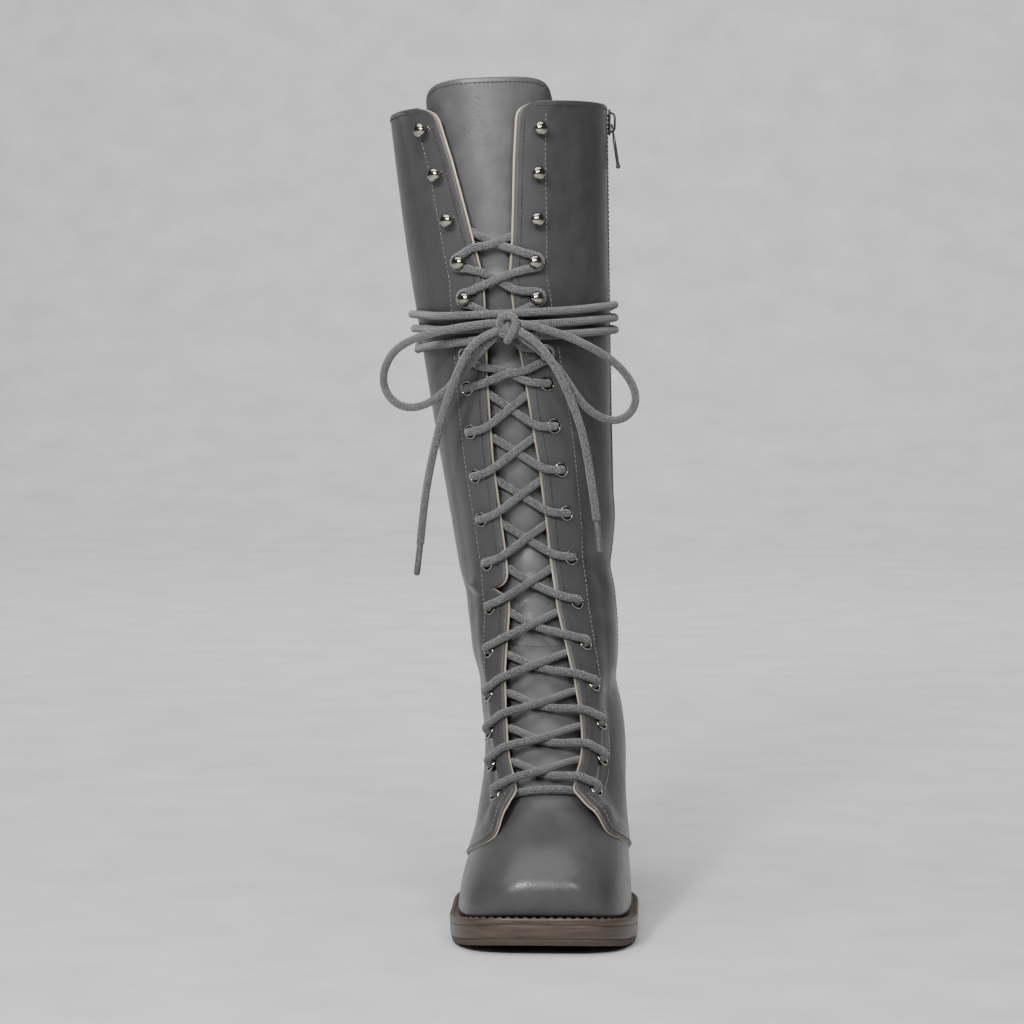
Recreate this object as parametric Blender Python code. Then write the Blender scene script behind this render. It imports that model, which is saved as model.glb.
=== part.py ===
"""Lace-up knee-high boot for the right foot: welted sole, hollow shaft, eyelets, ball hooks and side zip.

X points to the inner side of the leg, -Y to the toe and Z up, and the floor is at Z = 0.
Sizes are in millimetres up to the point where a mesh or curve is made.
"""

import math

import bmesh
import bpy
import numpy as np
from mathutils import Vector

MM = 0.001
GAP = 0.3
HAIR = 0.1

# Sole stack, from the floor up
TREAD_THICK = 3.0
MIDSOLE_THICK = 6.5
WELT_THICK = 3.0
LAYER_GAP = 0.4
STACK = TREAD_THICK + MIDSOLE_THICK + WELT_THICK + 3 * LAYER_GAP
TOE_TIP, TOE_BREAK, TOE_SPRING = -205.0, -145.0, 6.3
ARCH_START, ARCH_END, HEEL_RISE = -75.0, 25.0, 24.6
HEEL_BREAST = 6.0
TOP_LIFT_THICK = 6.0
HEEL_TAPER = 2.2
WELT_OVERHANG, WAIST_OVERHANG = 4.0, 2.5
WELT_WIDTH = 13.0
INSOLE_THICK = 3.0
INSOLE_INSET = 7.0
SOLE_STATIONS, HEEL_STATIONS = 20, 9

# Upper wall: the vamp lies one leather lower than the quarters that lap it
VAMP_DROP = 1.0
WALL = 2.8
COLLAR_ROW = 17.0
VAMP_END_ROW = 5.6
THROAT_ROW = 5.85
LAP = 13.2
HEM = 0.012

# Sections of the upper from the feather line to above the collar.  front and back give where the section
# meets the middle of the shin and the back seam, lateral and medial its reach, bend how square it is, rear
# the width of the heel against the ball, waist the hollow of the arch, lean its tilt to the outer side, and
# ball, where it is below 1, moves the widest place towards the toe.
COLUMNS = ("front_y", "front_z", "back_y", "back_z", "front_x", "back_x",
           "lateral", "medial", "bend", "rear", "waist", "lean", "ball")
SECTIONS = np.array([
    (-197.0, 19.0, 62.0, 38.0, 5.0, -1.0, -41.6, 47.0, 2.4, 0.72, 8.0, 0.0, 0.61),
    (-199.0, 27.0, 65.0, 47.0, 5.0, -1.0, -40.3, 46.4, 2.3, 0.75, 7.0, 0.0, 0.63),
    (-197.5, 36.5, 66.3, 56.0, 5.0, -1.0, -36.6, 45.4, 2.2, 0.78, 5.5, 0.0, 0.68),
    (-189.5, 45.5, 66.0, 65.0, 4.8, -1.0, -33.6, 44.4, 2.15, 0.81, 4.0, 0.0, 0.77),
    (-177.0, 53.0, 64.5, 74.0, 4.5, -1.0, -32.6, 43.6, 2.1, 0.85, 2.5, 0.0, 0.87),
    (-160.0, 60.5, 62.5, 83.0, 4.0, -1.0, -31.8, 43.4, 2.05, 0.89, 1.0, 0.0, 0.96),
    (-141.0, 71.0, 60.5, 92.0, 3.1, -1.0, -31.6, 43.3, 2.0, 0.93, 0.0, 0.0, 1.0),
    (-121.0, 86.0, 58.5, 101.5, 2.6, -1.0, -32.2, 42.0, 2.0, 0.97, 0.0, 0.0, 1.0),
    (-100.5, 104.0, 57.0, 113.0, 0.8, -1.0, -35.0, 39.8, 2.0, 0.99, 0.0, 0.0, 1.0),
    (-80.5, 123.0, 55.8, 127.5, -2.0, -1.2, -38.4, 38.3, 2.0, 1.0, 0.0, 0.0, 1.0),
    (-63.0, 143.0, 55.3, 144.5, -4.4, -2.0, -41.2, 37.2, 2.0, 1.0, 0.0, 0.0, 1.0),
    (-51.5, 163.5, 56.0, 163.5, -6.6, -3.2, -45.0, 35.4, 2.0, 1.0, 0.0, 0.0, 1.0),
    (-46.5, 185.0, 57.6, 185.0, -9.1, -4.5, -48.9, 34.6, 2.0, 1.0, 0.0, 0.01, 1.0),
    (-46.0, 212.0, 59.7, 212.0, -12.5, -6.6, -53.6, 34.6, 2.05, 1.0, 0.0, 0.02, 1.0),
    (-48.5, 250.0, 63.0, 250.0, -17.3, -10.0, -60.1, 33.8, 2.05, 1.0, 0.0, 0.03, 1.0),
    (-52.0, 300.0, 66.0, 300.0, -22.5, -13.0, -67.9, 32.9, 2.05, 1.0, 0.0, 0.04, 1.0),
    (-55.0, 350.0, 67.0, 350.0, -27.2, -15.5, -75.8, 32.1, 2.05, 1.0, 0.0, 0.045, 1.0),
    (-57.0, 418.0, 65.5, 414.0, -35.6, -18.0, -83.8, 31.2, 2.05, 1.0, 0.0, 0.05, 1.0),
    (-59.0, 470.0, 64.0, 466.0, -42.0, -20.0, -90.5, 30.5, 2.05, 1.0, 0.0, 0.05, 1.0),
])

# Height on the shin, and half width of the throat between the free edges of the two facings there
THROAT = np.array([
    (60.0, 12.2), (68.0, 13.0), (76.0, 14.4), (81.0, 15.8), (89.0, 17.2), (104.6, 18.6), (120.7, 18.4),
    (137.6, 16.0), (154.5, 13.4), (181.5, 12.4), (196.0, 12.7), (231.0, 12.9), (271.0, 11.1), (300.0, 9.0),
    (326.0, 8.0), (346.0, 11.2), (386.0, 16.8), (413.0, 21.6), (440.0, 26.5),
])

# Facings: laid over the upper, their lower tips lifted off the vamp
FACING_WIDTH = 18.0
FACING_THICK = 2.0
FACING_SEAT = GAP + HAIR
FACING_LIFT = 4.6
LIFT_ROWS = (6.3, 9.0)
FACING_TIP = {-1: -4.3, 1: -2.5}
DERBY_ACROSS = (0.0, 6.3, 12.3, 18.0)
DERBY_DROP = {-1: (0.0, -9.0, -16.5, -20.0), 1: (0.0, -7.0, -13.0, -14.5)}
DERBY_KNEE = {-1: (63.0, 1.7), 1: (77.0, 1.9)}
DERBY_FOOT = 93.0
CORNER_RADIUS = 8.0
NOTCH_HEIGHT, NOTCH_HALF, NOTCH_DEPTH = 163.0, 5.6, 8.6

# Tongue
TONGUE_THICK = 2.2
TONGUE_DROP = 5.2
TONGUE_START = 0.06
TONGUE_LAP, TONGUE_WIDENS = (4.5, 11.0), (6.4, 9.0)
TONGUE_INNER_LAP, TONGUE_INNER_WIDENS = 12.0, (15.4, 16.8)
TONGUE_TOP_ROW, TONGUE_CROWN, TONGUE_CORNER = 16.93, 0.265, 0.9

# Eyelets and hooks along the free edge of the facing, the lowest eyelets a little further apart
EYELETS = 11
EYELET_ACROSS = 9.3
EYELET_HOLE = 3.0
FIRST_EYELET = {-1: 0.0, 1: 2.5}
LAST_EYELET = {-1: 269.5, 1: 272.0}
EYELET_SPREAD = 0.94
EYELET_PROFILE = ((3.05, 0.0), (4.2, 0.0), (3.8, 1.1), (3.05, 0.9))
HOOK_ACROSS = {-1: 6.2, 1: 9.3}
HOOK_HEIGHTS = (287.0, 316.3, 334.8, 356.5, 380.0, 403.0)
HOOKS_LACED = 3
HOOK_PROFILE = ((0.0, 0.0), (3.4, 0.0), (1.35, 0.7), (1.35, 5.2), (4.3, 6.6), (3.5, 9.0), (0.0, 9.9))
STEM_LOW, STEM_HIGH = 0.7, 5.2
SEAT = 0.5
TURNED_SIDES = 8

# Lace
LACE = 4.2
LACE_CLEAR = LACE / 2 + GAP
LACE_UNDER = LACE_CLEAR + 0.4
LACE_SIDES = 6
CROSS_RISE, DIVE_RISE = 0.5, 0.88
EXIT_RISE = 4.4
OVER_RISE, TONGUE_CLEAR = 8.2, LACE_CLEAR + 1.3
HOOK_OVER_RISE, HOOK_UNDER_RISE = 10.0, 5.4
HOOK_REACH = 3.95
TUCK_HEIGHT, TUCK_DEPTH = 349.0, 7.0

# Turns of the lace round the shaft: degrees from the shin by the inner side, and height on the shaft
LONG_WRAP = np.array((
    (11.0, 302.5), (90.0, 303.0), (180.0, 304.5), (270.0, 309.6), (360.0, 308.5), (405.0, 308.8),
    (450.0, 310.0), (540.0, 305.0), (630.0, 289.9), (690.0, 294.5), (719.0, 296.5),
))
SHORT_WRAP = np.array(((-1.0, 301.5), (-90.0, 301.9), (-180.0, 298.5), (-270.0, 296.7), (-349.0, 296.5)))
WRAP_STEP = 15.0
WRAP_LEVEL, WRAP_FRONT_LEVEL = 2.7, 10.2
WRAP_FRONT = (26.0, 60.0)
WRAP_CROSSING = (462.0, 490.0, 598.0, 630.0)
WRAP_CROSSING_LEVEL = 4.6

# Bow in front of the shaft: each route starts at the knot, and the ends carry aglets on their last stretch
KNOT_MIDDLE, KNOT_HALF = (-18.3, -69.4, 301.3), (5.7, 4.4, 6.6)
BOW_ROUTES = {
    "lace_loop_lateral": (
        (-25.4, -70.0, 303.2), (-44.4, -68.0, 300.8), (-63.8, -61.0, 296.1), (-78.3, -52.0, 287.7),
        (-83.9, -46.0, 273.5), (-78.2, -46.0, 262.2), (-66.0, -50.0, 259.7), (-51.1, -58.0, 268.2),
        (-37.4, -65.0, 283.3), (-24.8, -67.4, 296.6)),
    "lace_loop_medial": (
        (-11.2, -70.0, 302.9), (6.8, -68.0, 298.3), (22.6, -62.0, 291.5), (37.9, -52.0, 281.0),
        (46.6, -45.0, 266.8), (43.5, -45.0, 255.9), (33.2, -49.0, 253.0), (21.4, -57.0, 260.0),
        (12.8, -63.0, 272.0), (1.6, -66.6, 285.9), (-11.6, -67.4, 296.6)),
    "lace_end_lateral": (
        (-26.4, -73.2, 298.2), (-33.0, -74.2, 294.6), (-41.0, -74.2, 284.4), (-49.5, -68.0, 263.9),
        (-55.6, -61.0, 243.1), (-61.2, -53.0, 217.0), (-64.6, -48.0, 190.3), (-66.8, -46.0, 172.0)),
    "lace_end_medial": (
        (-10.2, -73.2, 298.0), (-3.2, -74.6, 292.8), (4.9, -74.4, 282.6), (13.2, -70.0, 265.8),
        (19.5, -65.0, 247.4), (23.5, -60.0, 226.6), (27.1, -56.0, 200.7), (28.6, -54.0, 184.6)),
}
BOW_STEP = 9.0
AGLET, AGLET_LENGTH = 3.4, 17.0

# Side zip on the inner side, its chain in a slit of the wall
ZIP_Y = 9.0
ZIP_HALF = 3.4
ZIP_THICK = 2.0
ZIP_SINK = 0.2
ZIP_FOOT_ROW = 7.6
ZIP_END_GAP = 0.02

# Slider: thickness, width and height of its plate, and the side of its bridge as distance out and up
SLIDER_Z, SLIDER_SEAT = 408.5, 0.45
SLIDER_PLATE = (1.2, 8.2, 14.0)
BRIDGE = ((0.8, -5.8), (4.1, -4.4), (4.1, 4.4), (0.8, 5.8), (0.8, 3.9), (3.0, 3.1), (3.0, -3.1), (0.8, -3.9))
BRIDGE_WIDTH = 2.2

# Pull: its hinge on the slider, and its distance below the hinge, half width and thickness by row
PULL_HINGE = (2.1, -1.4)
PULL = np.array((
    (-0.45, 3.2, 1.2), (0.45, 3.2, 1.2), (6.6, 3.2, 1.2), (8.6, 3.2, 1.3), (20.8, 2.8, 1.3), (21.4, 2.8, 2.5),
    (22.8, 2.7, 2.5), (23.5, 2.4, 1.4),
))
PULL_EYE = 1.5
PULL_TILT = 8.7

# Middle of the box round the boot without the free cords of its bow, which becomes the origin
ORIGIN = Vector((-17.6, -62.7, 0.0))


def smooth(value):
    """Ease from 0 to 1 with level ends."""
    value = np.clip(value, 0.0, 1.0)
    return value * value * (3.0 - 2.0 * value)


def spline_bends(table):
    """Second differences of a natural cubic spline through the rows of a table, one row apart."""
    count = len(table)
    matrix = np.eye(count)
    right = np.zeros_like(table)
    for row in range(1, count - 1):
        matrix[row, row - 1:row + 2] = (1.0, 4.0, 1.0)
        right[row] = 6.0 * (table[row - 1] - 2.0 * table[row] + table[row + 1])
    return np.linalg.solve(matrix, right)


def spline(table, bends, row):
    """Natural cubic spline through the rows of a table."""
    row = np.asarray(row, float)
    low = np.clip(np.floor(row).astype(int), 0, len(table) - 2)
    b = (row - low)[..., None]
    a = 1.0 - b
    bent = (a ** 3 - a) * bends[low] + (b ** 3 - b) * bends[low + 1]
    return a * table[low] + b * table[low + 1] + bent / 6.0


SECTION_BENDS = spline_bends(SECTIONS)


def section(row):
    """Columns of the section table at any row, whole or between."""
    values = spline(SECTIONS, SECTION_BENDS, row)
    return {name: values[..., i] for i, name in enumerate(COLUMNS)}


def tread_line(y):
    """Height of the underside of the sole: toe spring, flat forefoot, arch and heel seat."""
    toe = np.clip((TOE_BREAK - y) / (TOE_BREAK - TOE_TIP), 0.0, None)
    return TOE_SPRING * toe ** 2 + HEEL_RISE * smooth((y - ARCH_START) / (ARCH_END - ARCH_START))


def surface(angle, row):
    """Point on the outside of the upper: angle runs from the shin (0) by the inner side to the back (pi)."""
    angle, row = np.broadcast_arrays(np.asarray(angle, float), np.asarray(row, float))
    c = section(row)
    share = (1.0 - np.cos(angle)) / 2.0
    inner = np.sin(angle) >= 0.0
    y = c["front_y"] + (c["back_y"] - c["front_y"]) * share
    axis = c["front_x"] + (c["back_x"] - c["front_x"]) * share
    along = np.abs(1.0 - 2.0 * share ** c["ball"])
    curve = (1.0 - along ** c["bend"]).clip(0.0) ** (1.0 / c["bend"])
    taper = 1.0 - (1.0 - c["rear"]) * smooth((share - 0.35) / 0.3)
    hollow = c["waist"] * np.exp(-((share - 0.6) / 0.13) ** 2)
    x = axis + (np.where(inner, c["medial"], c["lateral"]) - axis) * curve * taper
    x = x - hollow * np.where(inner, 1.0, 0.18)
    first = SECTIONS[0]
    feather_y = first[0] + (first[2] - first[0]) * share
    feather = tread_line(feather_y) + STACK - (first[1] + (first[3] - first[1]) * share)
    z = c["front_z"] + (c["back_z"] - c["front_z"]) * share
    z = z + feather * np.clip(1.0 - row / 5.0, 0.0, 1.0) ** 2 + c["lean"] * (x - axis)
    return np.stack((x, y, z), -1)


def unit(vectors):
    return vectors / np.linalg.norm(vectors, axis=-1, keepdims=True)


def slopes(angle, row):
    """Directions along the angle and along the row at a point of the upper."""
    step = 0.002
    by_angle = (surface(angle + step, row) - surface(angle - step, row)) / (2.0 * step)
    by_row = (surface(angle, row + step) - surface(angle, row - step)) / (2.0 * step)
    return by_angle, by_row


def skin(angle, row, height=0.0):
    """Point at a height above the outside of the upper."""
    by_angle, by_row = slopes(angle, row)
    return surface(angle, row) + unit(np.cross(by_angle, by_row)) * np.asarray(height, float)[..., None]


def row_at(height):
    """Row whose front lies at a height."""
    rows = np.linspace(0.0, len(SECTIONS) - 1.0, 400)
    return np.interp(height, section(rows)["front_z"], rows)


def angle_at(row, shift, side):
    """Angle at which the upper lies a given distance in X from the middle of the shin."""
    angles = np.linspace(0.0, 1.6, 161)
    found = []
    for one_row, one_shift in zip(np.atleast_1d(row), np.atleast_1d(shift)):
        x = surface(side * angles, one_row)[:, 0]
        found.append(np.interp(one_shift, np.abs(x - x[0]), angles))
    return side * np.array(found)


def half_gap(row):
    return np.interp(section(row)["front_z"], THROAT[:, 0], THROAT[:, 1])


def walk(angle, row, heading, distance, steps=10):
    """Follow the upper from a point in a fixed direction for a distance."""
    angle, row = angle.copy(), row.copy()
    for _ in range(steps):
        by_angle, by_row = slopes(angle, row)
        normal = unit(np.cross(by_angle, by_row))
        flat = heading - normal * np.sum(heading * normal, -1, keepdims=True)
        move = unit(flat) * (distance / steps)[:, None]
        aa, bb = np.sum(by_angle * by_angle, -1), np.sum(by_row * by_row, -1)
        ab = np.sum(by_angle * by_row, -1)
        ma, mb = np.sum(move * by_angle, -1), np.sum(move * by_row, -1)
        whole = aa * bb - ab * ab
        angle += (ma * bb - mb * ab) / whole
        row += (mb * aa - ma * ab) / whole
    return angle, row


class Throat:
    """One free edge of the throat, measured along its length from the derby corner up."""

    def __init__(self, side):
        self.side = side
        self.row = np.linspace(THROAT_ROW, COLLAR_ROW + 0.4, 240)
        self.angle = angle_at(self.row, half_gap(self.row), side)
        points = surface(self.angle, self.row)
        steps = np.linalg.norm(np.diff(points, axis=0), axis=1)
        self.length = np.concatenate(((0.0,), np.cumsum(steps)))
        self.collar = np.interp(COLLAR_ROW, self.row, self.length)

    def edge(self, along):
        """Angle and row of the edge, carried on straight past its ends."""
        near = 8
        past = np.minimum(along, 0.0) / self.length[near]
        row = np.interp(along, self.length, self.row) + past * (self.row[near] - self.row[0])
        angle = np.interp(along, self.length, self.angle) + past * (self.angle[near] - self.angle[0])
        return angle, row

    def place(self, along, across):
        """Angle and row at a distance across from the edge, away from the throat."""
        along, across = np.broadcast_arrays(np.asarray(along, float), np.asarray(across, float))
        shape = along.shape
        along, across = along.ravel(), across.ravel()
        angle, row = self.edge(along)
        tangent = surface(*self.edge(along + 2.0)) - surface(*self.edge(along - 2.0))
        by_angle, by_row = slopes(angle, row)
        normal = unit(np.cross(by_angle, by_row))
        angle, row = walk(angle, row, self.side * unit(np.cross(tangent, normal)), across)
        return angle.reshape(shape), row.reshape(shape)

    def at_height(self, height, across=EYELET_ACROSS):
        """Length along the edge where a line beside it reaches a height."""
        along = np.linspace(0.0, self.collar, 200)
        z = surface(*self.place(along, np.full(200, across)))[:, 2]
        return float(np.interp(height, z, along))

    def rows_of_holes(self):
        first, last = FIRST_EYELET[self.side], self.at_height(LAST_EYELET[self.side])
        return first + (last - first) * np.linspace(0.0, 1.0, EYELETS) ** EYELET_SPREAD

    def rows_of_hooks(self):
        return np.array([self.at_height(height, HOOK_ACROSS[self.side]) for height in HOOK_HEIGHTS])


def lift(row, across):
    """How far the tip of a facing stands off the vamp."""
    low, high = LIFT_ROWS
    side = np.clip(1.0 - (across / FACING_WIDTH) ** 4, 0.0, 1.0)
    return FACING_LIFT * (1.0 - smooth((row - low) / (high - low))) * side


def tongue_level(row):
    """Height of the tongue against the outside of the upper: level with the vamp, then below the laces."""
    low, high = LIFT_ROWS
    return -VAMP_DROP - (TONGUE_DROP - VAMP_DROP) * smooth((row - low + 0.5) / (high - low))


THROATS = {side: Throat(side) for side in (-1, 1)}


def material(name, colour, roughness, metallic=0.0):
    made = bpy.data.materials.new(name)
    made.use_nodes = True
    shader = made.node_tree.nodes["Principled BSDF"]
    shader.inputs["Base Color"].default_value = (*colour, 1.0)
    shader.inputs["Roughness"].default_value = roughness
    shader.inputs["Metallic"].default_value = metallic
    return made


def add(name, data, finish, parent):
    """Object of a mesh or curve with its finish, under a parent."""
    data.materials.clear()
    data.materials.append(finish)
    made = bpy.data.objects.new(name, data)
    bpy.context.scene.collection.objects.link(made)
    made.parent = parent
    return made


def mesh_of(name, points, faces):
    """Mesh in metres, with double points merged and faces turned outwards."""
    shape = bmesh.new()
    corners = [shape.verts.new(Vector(point) * MM) for point in points]
    for face in faces:
        shape.faces.new([corners[i] for i in face])
    loose = [corner for corner in shape.verts if not corner.link_faces]
    bmesh.ops.delete(shape, geom=loose, context="VERTS")
    bmesh.ops.remove_doubles(shape, verts=shape.verts, dist=1e-7)
    bmesh.ops.recalc_face_normals(shape, faces=shape.faces)
    mesh = bpy.data.meshes.new(name)
    shape.to_mesh(mesh)
    shape.free()
    return mesh


def shell(name, outer, inner, present, wrap=False):
    """Wall between two grids of points, with cells left out where it is open."""
    rows, columns = outer.shape[:2]
    cells = present.shape[1]
    points = np.concatenate((outer.reshape(-1, 3), inner.reshape(-1, 3)))
    half = rows * columns
    faces = []
    for i in range(rows - 1):
        for j in range(cells):
            if not present[i, j]:
                continue
            right = (j + 1) % columns
            quad = (i * columns + j, i * columns + right, (i + 1) * columns + right, (i + 1) * columns + j)
            faces.append(quad)
            faces.append(tuple(half + corner for corner in reversed(quad)))
            beside = ((i - 1, j), (i, j + 1), (i + 1, j), (i, j - 1))
            for side, (k, m) in enumerate(beside):
                if wrap:
                    m %= cells
                if 0 <= k < rows - 1 and 0 <= m < cells and present[k, m]:
                    continue
                start, end = quad[side], quad[(side + 1) % 4]
                faces.append((end, start, half + start, half + end))
    return mesh_of(name, points, faces)


def slab(name, low, high):
    """Solid between a lower and an upper pair of side lines (medial, lateral) that run from toe to heel."""
    count = len(low[0])
    points = np.concatenate((*low, *high))
    medial_low, lateral_low, medial_high, lateral_high = (k * count + np.arange(count) for k in range(4))
    faces = []
    for k in range(count - 1):
        faces.append((medial_low[k], medial_low[k + 1], medial_high[k + 1], medial_high[k]))
        faces.append((lateral_low[k + 1], lateral_low[k], lateral_high[k], lateral_high[k + 1]))
        faces.append((medial_high[k], medial_high[k + 1], lateral_high[k + 1], lateral_high[k]))
        faces.append((lateral_low[k], lateral_low[k + 1], medial_low[k + 1], medial_low[k]))
    faces.append((lateral_low[0], medial_low[0], medial_high[0], lateral_high[0]))
    faces.append((medial_low[-1], lateral_low[-1], lateral_high[-1], medial_high[-1]))
    return mesh_of(name, points, faces)


def heel_angles():
    """Angles from the breast of the heel to its back."""
    first, last = SECTIONS[0][0], SECTIONS[0][2]
    breast = math.acos(1.0 - 2.0 * (HEEL_BREAST - first) / (last - first))
    return np.linspace(breast, math.pi, HEEL_STATIONS + 1)


def sole_angles():
    """Angles from the toe tip to the back of the heel, closer together at the toe."""
    heel = heel_angles()
    return np.concatenate((heel[0] * np.linspace(0.0, 1.0, SOLE_STATIONS + 1)[:-1] ** 1.25, heel))


def side_line(side, angles, spread):
    """Plan of the feather line on one side, moved outwards by spread."""
    step = 0.01
    inside = np.clip(angles, step, math.pi - step)
    tangent = surface(side * (inside + step), 0.0)[:, :2] - surface(side * (inside - step), 0.0)[:, :2]
    normal = unit(np.stack((tangent[:, 1], -tangent[:, 0]), -1)) * side
    plan = surface(side * angles, 0.0)[:, :2] + normal * np.broadcast_to(spread, angles.shape)[:, None]
    ends = np.isclose(angles, 0.0) | np.isclose(angles, math.pi)
    ahead = np.where(angles < 1.0, -1.0, 1.0) * np.broadcast_to(spread, angles.shape)
    middle = surface(angles, 0.0)[:, :2] + np.stack((np.zeros_like(angles), ahead), -1)
    return np.where(ends[:, None], middle, plan)


def overhang(angles, inset=0.0):
    """Width of the sole edge outside the feather line, less at the waist and heel."""
    share = (1.0 - np.cos(angles)) / 2.0
    return WELT_OVERHANG - (WELT_OVERHANG - WAIST_OVERHANG) * smooth((share - 0.35) / 0.2) - inset


def at_height(plan, height):
    """Plan points raised to a height above the line of the tread."""
    return np.column_stack((plan, tread_line(plan[:, 1]) + height))


def sole_layer(name, inset, low, high):
    angles = sole_angles()
    plans = [side_line(side, angles, overhang(angles, inset)) for side in (1, -1)]
    return slab(name, [at_height(plan, low) for plan in plans], [at_height(plan, high) for plan in plans])


def make_sole(root, finishes):
    midsole_low = TREAD_THICK + LAYER_GAP
    welt_low = midsole_low + MIDSOLE_THICK + LAYER_GAP
    add("outsole", sole_layer("outsole", 0.4, 0.0, TREAD_THICK), finishes["tread"], root)
    midsole = sole_layer("midsole", 0.8, midsole_low, midsole_low + MIDSOLE_THICK)
    add("midsole", midsole, finishes["sole_leather"], root)
    angles = sole_angles()
    rings = []
    for spread in (overhang(angles), overhang(angles) - WELT_WIDTH):
        medial, lateral = (side_line(side, angles, spread) for side in (1, -1))
        ring = np.concatenate((medial, lateral[-2:0:-1]))
        rings += [at_height(ring, welt_low), at_height(ring, welt_low + WELT_THICK)]
    outer_low, outer_high, inner_low, inner_high = rings
    loops = np.stack((outer_low, outer_high, inner_high, inner_low, outer_low), 1)
    count = len(loops)
    faces = [(i * 5 + j, (i + 1) % count * 5 + j, (i + 1) % count * 5 + j + 1, i * 5 + j + 1)
             for i in range(count) for j in range(4)]
    add("welt", mesh_of("welt", loops.reshape(-1, 3), faces), finishes["welt"], root)
    inside = [side_line(side, angles, -INSOLE_INSET) for side in (1, -1)]
    low, high = ([at_height(plan, STACK + level) for plan in inside] for level in (GAP, GAP + INSOLE_THICK))
    add("insole", slab("insole", low, high), finishes["insole"], root)
    angles = heel_angles()
    upper_plan, lower_plan = ([side_line(side, angles, overhang(angles, inset)) for side in (1, -1)]
                              for inset in (0.6, HEEL_TAPER))
    flat = [np.column_stack((plan, np.full(len(plan), TOP_LIFT_THICK + GAP))) for plan in lower_plan]
    block = slab("heel", flat, [at_height(plan, -LAYER_GAP) for plan in upper_plan])
    add("heel", block, finishes["heel"], root)
    floor, top = ([np.column_stack((plan, np.full(len(plan), level))) for plan in lower_plan]
                  for level in (0.0, TOP_LIFT_THICK))
    add("top_lift", slab("top_lift", floor, top), finishes["tread"], root)


def derby_drop(side, across):
    """How far the front edge of a quarter has dropped towards the toe at a distance from its tip."""
    return np.interp(across, DERBY_ACROSS, DERBY_DROP[side])


def lap_angle(row, side):
    """Front edge of the quarter: under the facing along the throat, then down the derby line."""
    throat = THROATS[side]
    start = FACING_TIP[side] + derby_drop(side, LAP)
    angle, rows = throat.place(np.linspace(start, throat.collar + 14.0, 160), np.full(160, LAP))
    knee_angle, knee_row = DERBY_KNEE[side]
    angles = np.concatenate((np.radians((DERBY_FOOT, knee_angle)), np.abs(angle)))
    return side * np.interp(row, np.concatenate(((0.0, knee_row), rows)), angles)


def zip_angles(row):
    """Angles of the front and back edges of the zip slit."""
    c = section(row)
    middle = np.arccos(1.0 - 2.0 * (ZIP_Y - c["front_y"]) / (c["back_y"] - c["front_y"]))
    by_angle, _ = slopes(middle, row)
    half = ZIP_HALF / np.linalg.norm(by_angle, axis=-1)
    return middle - half, middle + half


FRONT_SHARES = np.array((0.0, 0.08, 0.2, 0.36, 0.55, 0.77, 1.0))
UPPER_ROWS = np.array((0.0, 0.45, 1.0, 1.6, 2.2, 2.9, 3.6, 4.3, 5.0, VAMP_END_ROW, 6.2, 6.9, ZIP_FOOT_ROW,
                       8.3, 9.0, 9.7, 10.3, 10.9, 11.5, 12.1, 12.9, 13.8, 14.8, 15.8, 16.5, COLLAR_ROW))


def make_upper(root, finishes):
    """Vamp, quarters and shaft as one wall, open at the collar, along the throat and zip, and underneath."""
    rows = UPPER_ROWS
    lap_medial, lap_lateral = lap_angle(rows, 1), lap_angle(rows, -1)
    zip_front, zip_back = zip_angles(rows)
    columns, levels = [], []
    for share in FRONT_SHARES[::-1]:
        columns.append(lap_lateral * share)
        levels.append(-VAMP_DROP)
    for share in FRONT_SHARES[1:]:
        columns.append(lap_medial * share)
        levels.append(-VAMP_DROP)
    back = np.full_like(rows, math.pi)
    spans = ((lap_medial + HEM, zip_front, 4), (zip_front, zip_back, 1), (zip_back, back, 6),
             (back, 2.0 * math.pi + lap_lateral - HEM, 11))
    columns.append(lap_medial + HEM)
    for start, end, cells in spans:
        columns += [start + (end - start) * k / cells for k in range(1, cells + 1)]
    levels += [0.0] * (len(columns) - len(levels))
    angles = np.stack(columns, 1)
    outer = skin(angles, rows[:, None], np.broadcast_to(levels, angles.shape))
    inner = skin(angles, rows[:, None], np.full(angles.shape, -WALL))
    feather = surface(angles[0], 0.0)[:, 2] + GAP
    outer[0, :, 2] = inner[0, :, 2] = feather
    present = np.ones((len(rows) - 1, len(columns)), bool)
    front = 2 * (len(FRONT_SHARES) - 1)
    open_above = rows[:-1] >= VAMP_END_ROW
    present[open_above, :front + 1] = False
    present[open_above, -1] = False
    slit = front + 1 + spans[0][2]
    present[rows[:-1] >= ZIP_FOOT_ROW, slit] = False
    add("upper", shell("upper", outer, inner, present, wrap=True), finishes["leather"], root)
    chain_rows = rows[rows >= ZIP_FOOT_ROW]
    start, end = zip_angles(chain_rows)
    margin = (end - start) * (GAP + HAIR) / (2.0 * ZIP_HALF)
    chain_rows = chain_rows.copy()
    chain_rows[0] += ZIP_END_GAP
    chain_rows[-1] -= ZIP_END_GAP
    chain_angles = np.stack((start + margin, end - margin), 1)
    outer = skin(chain_angles, chain_rows[:, None], np.full(chain_angles.shape, -ZIP_SINK))
    inner = skin(chain_angles, chain_rows[:, None], np.full(chain_angles.shape, -ZIP_SINK - ZIP_THICK))
    present = np.ones((len(chain_rows) - 1, 1), bool)
    add("zip_chain", shell("zip_chain", outer, inner, present), finishes["zip"], root)


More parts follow.
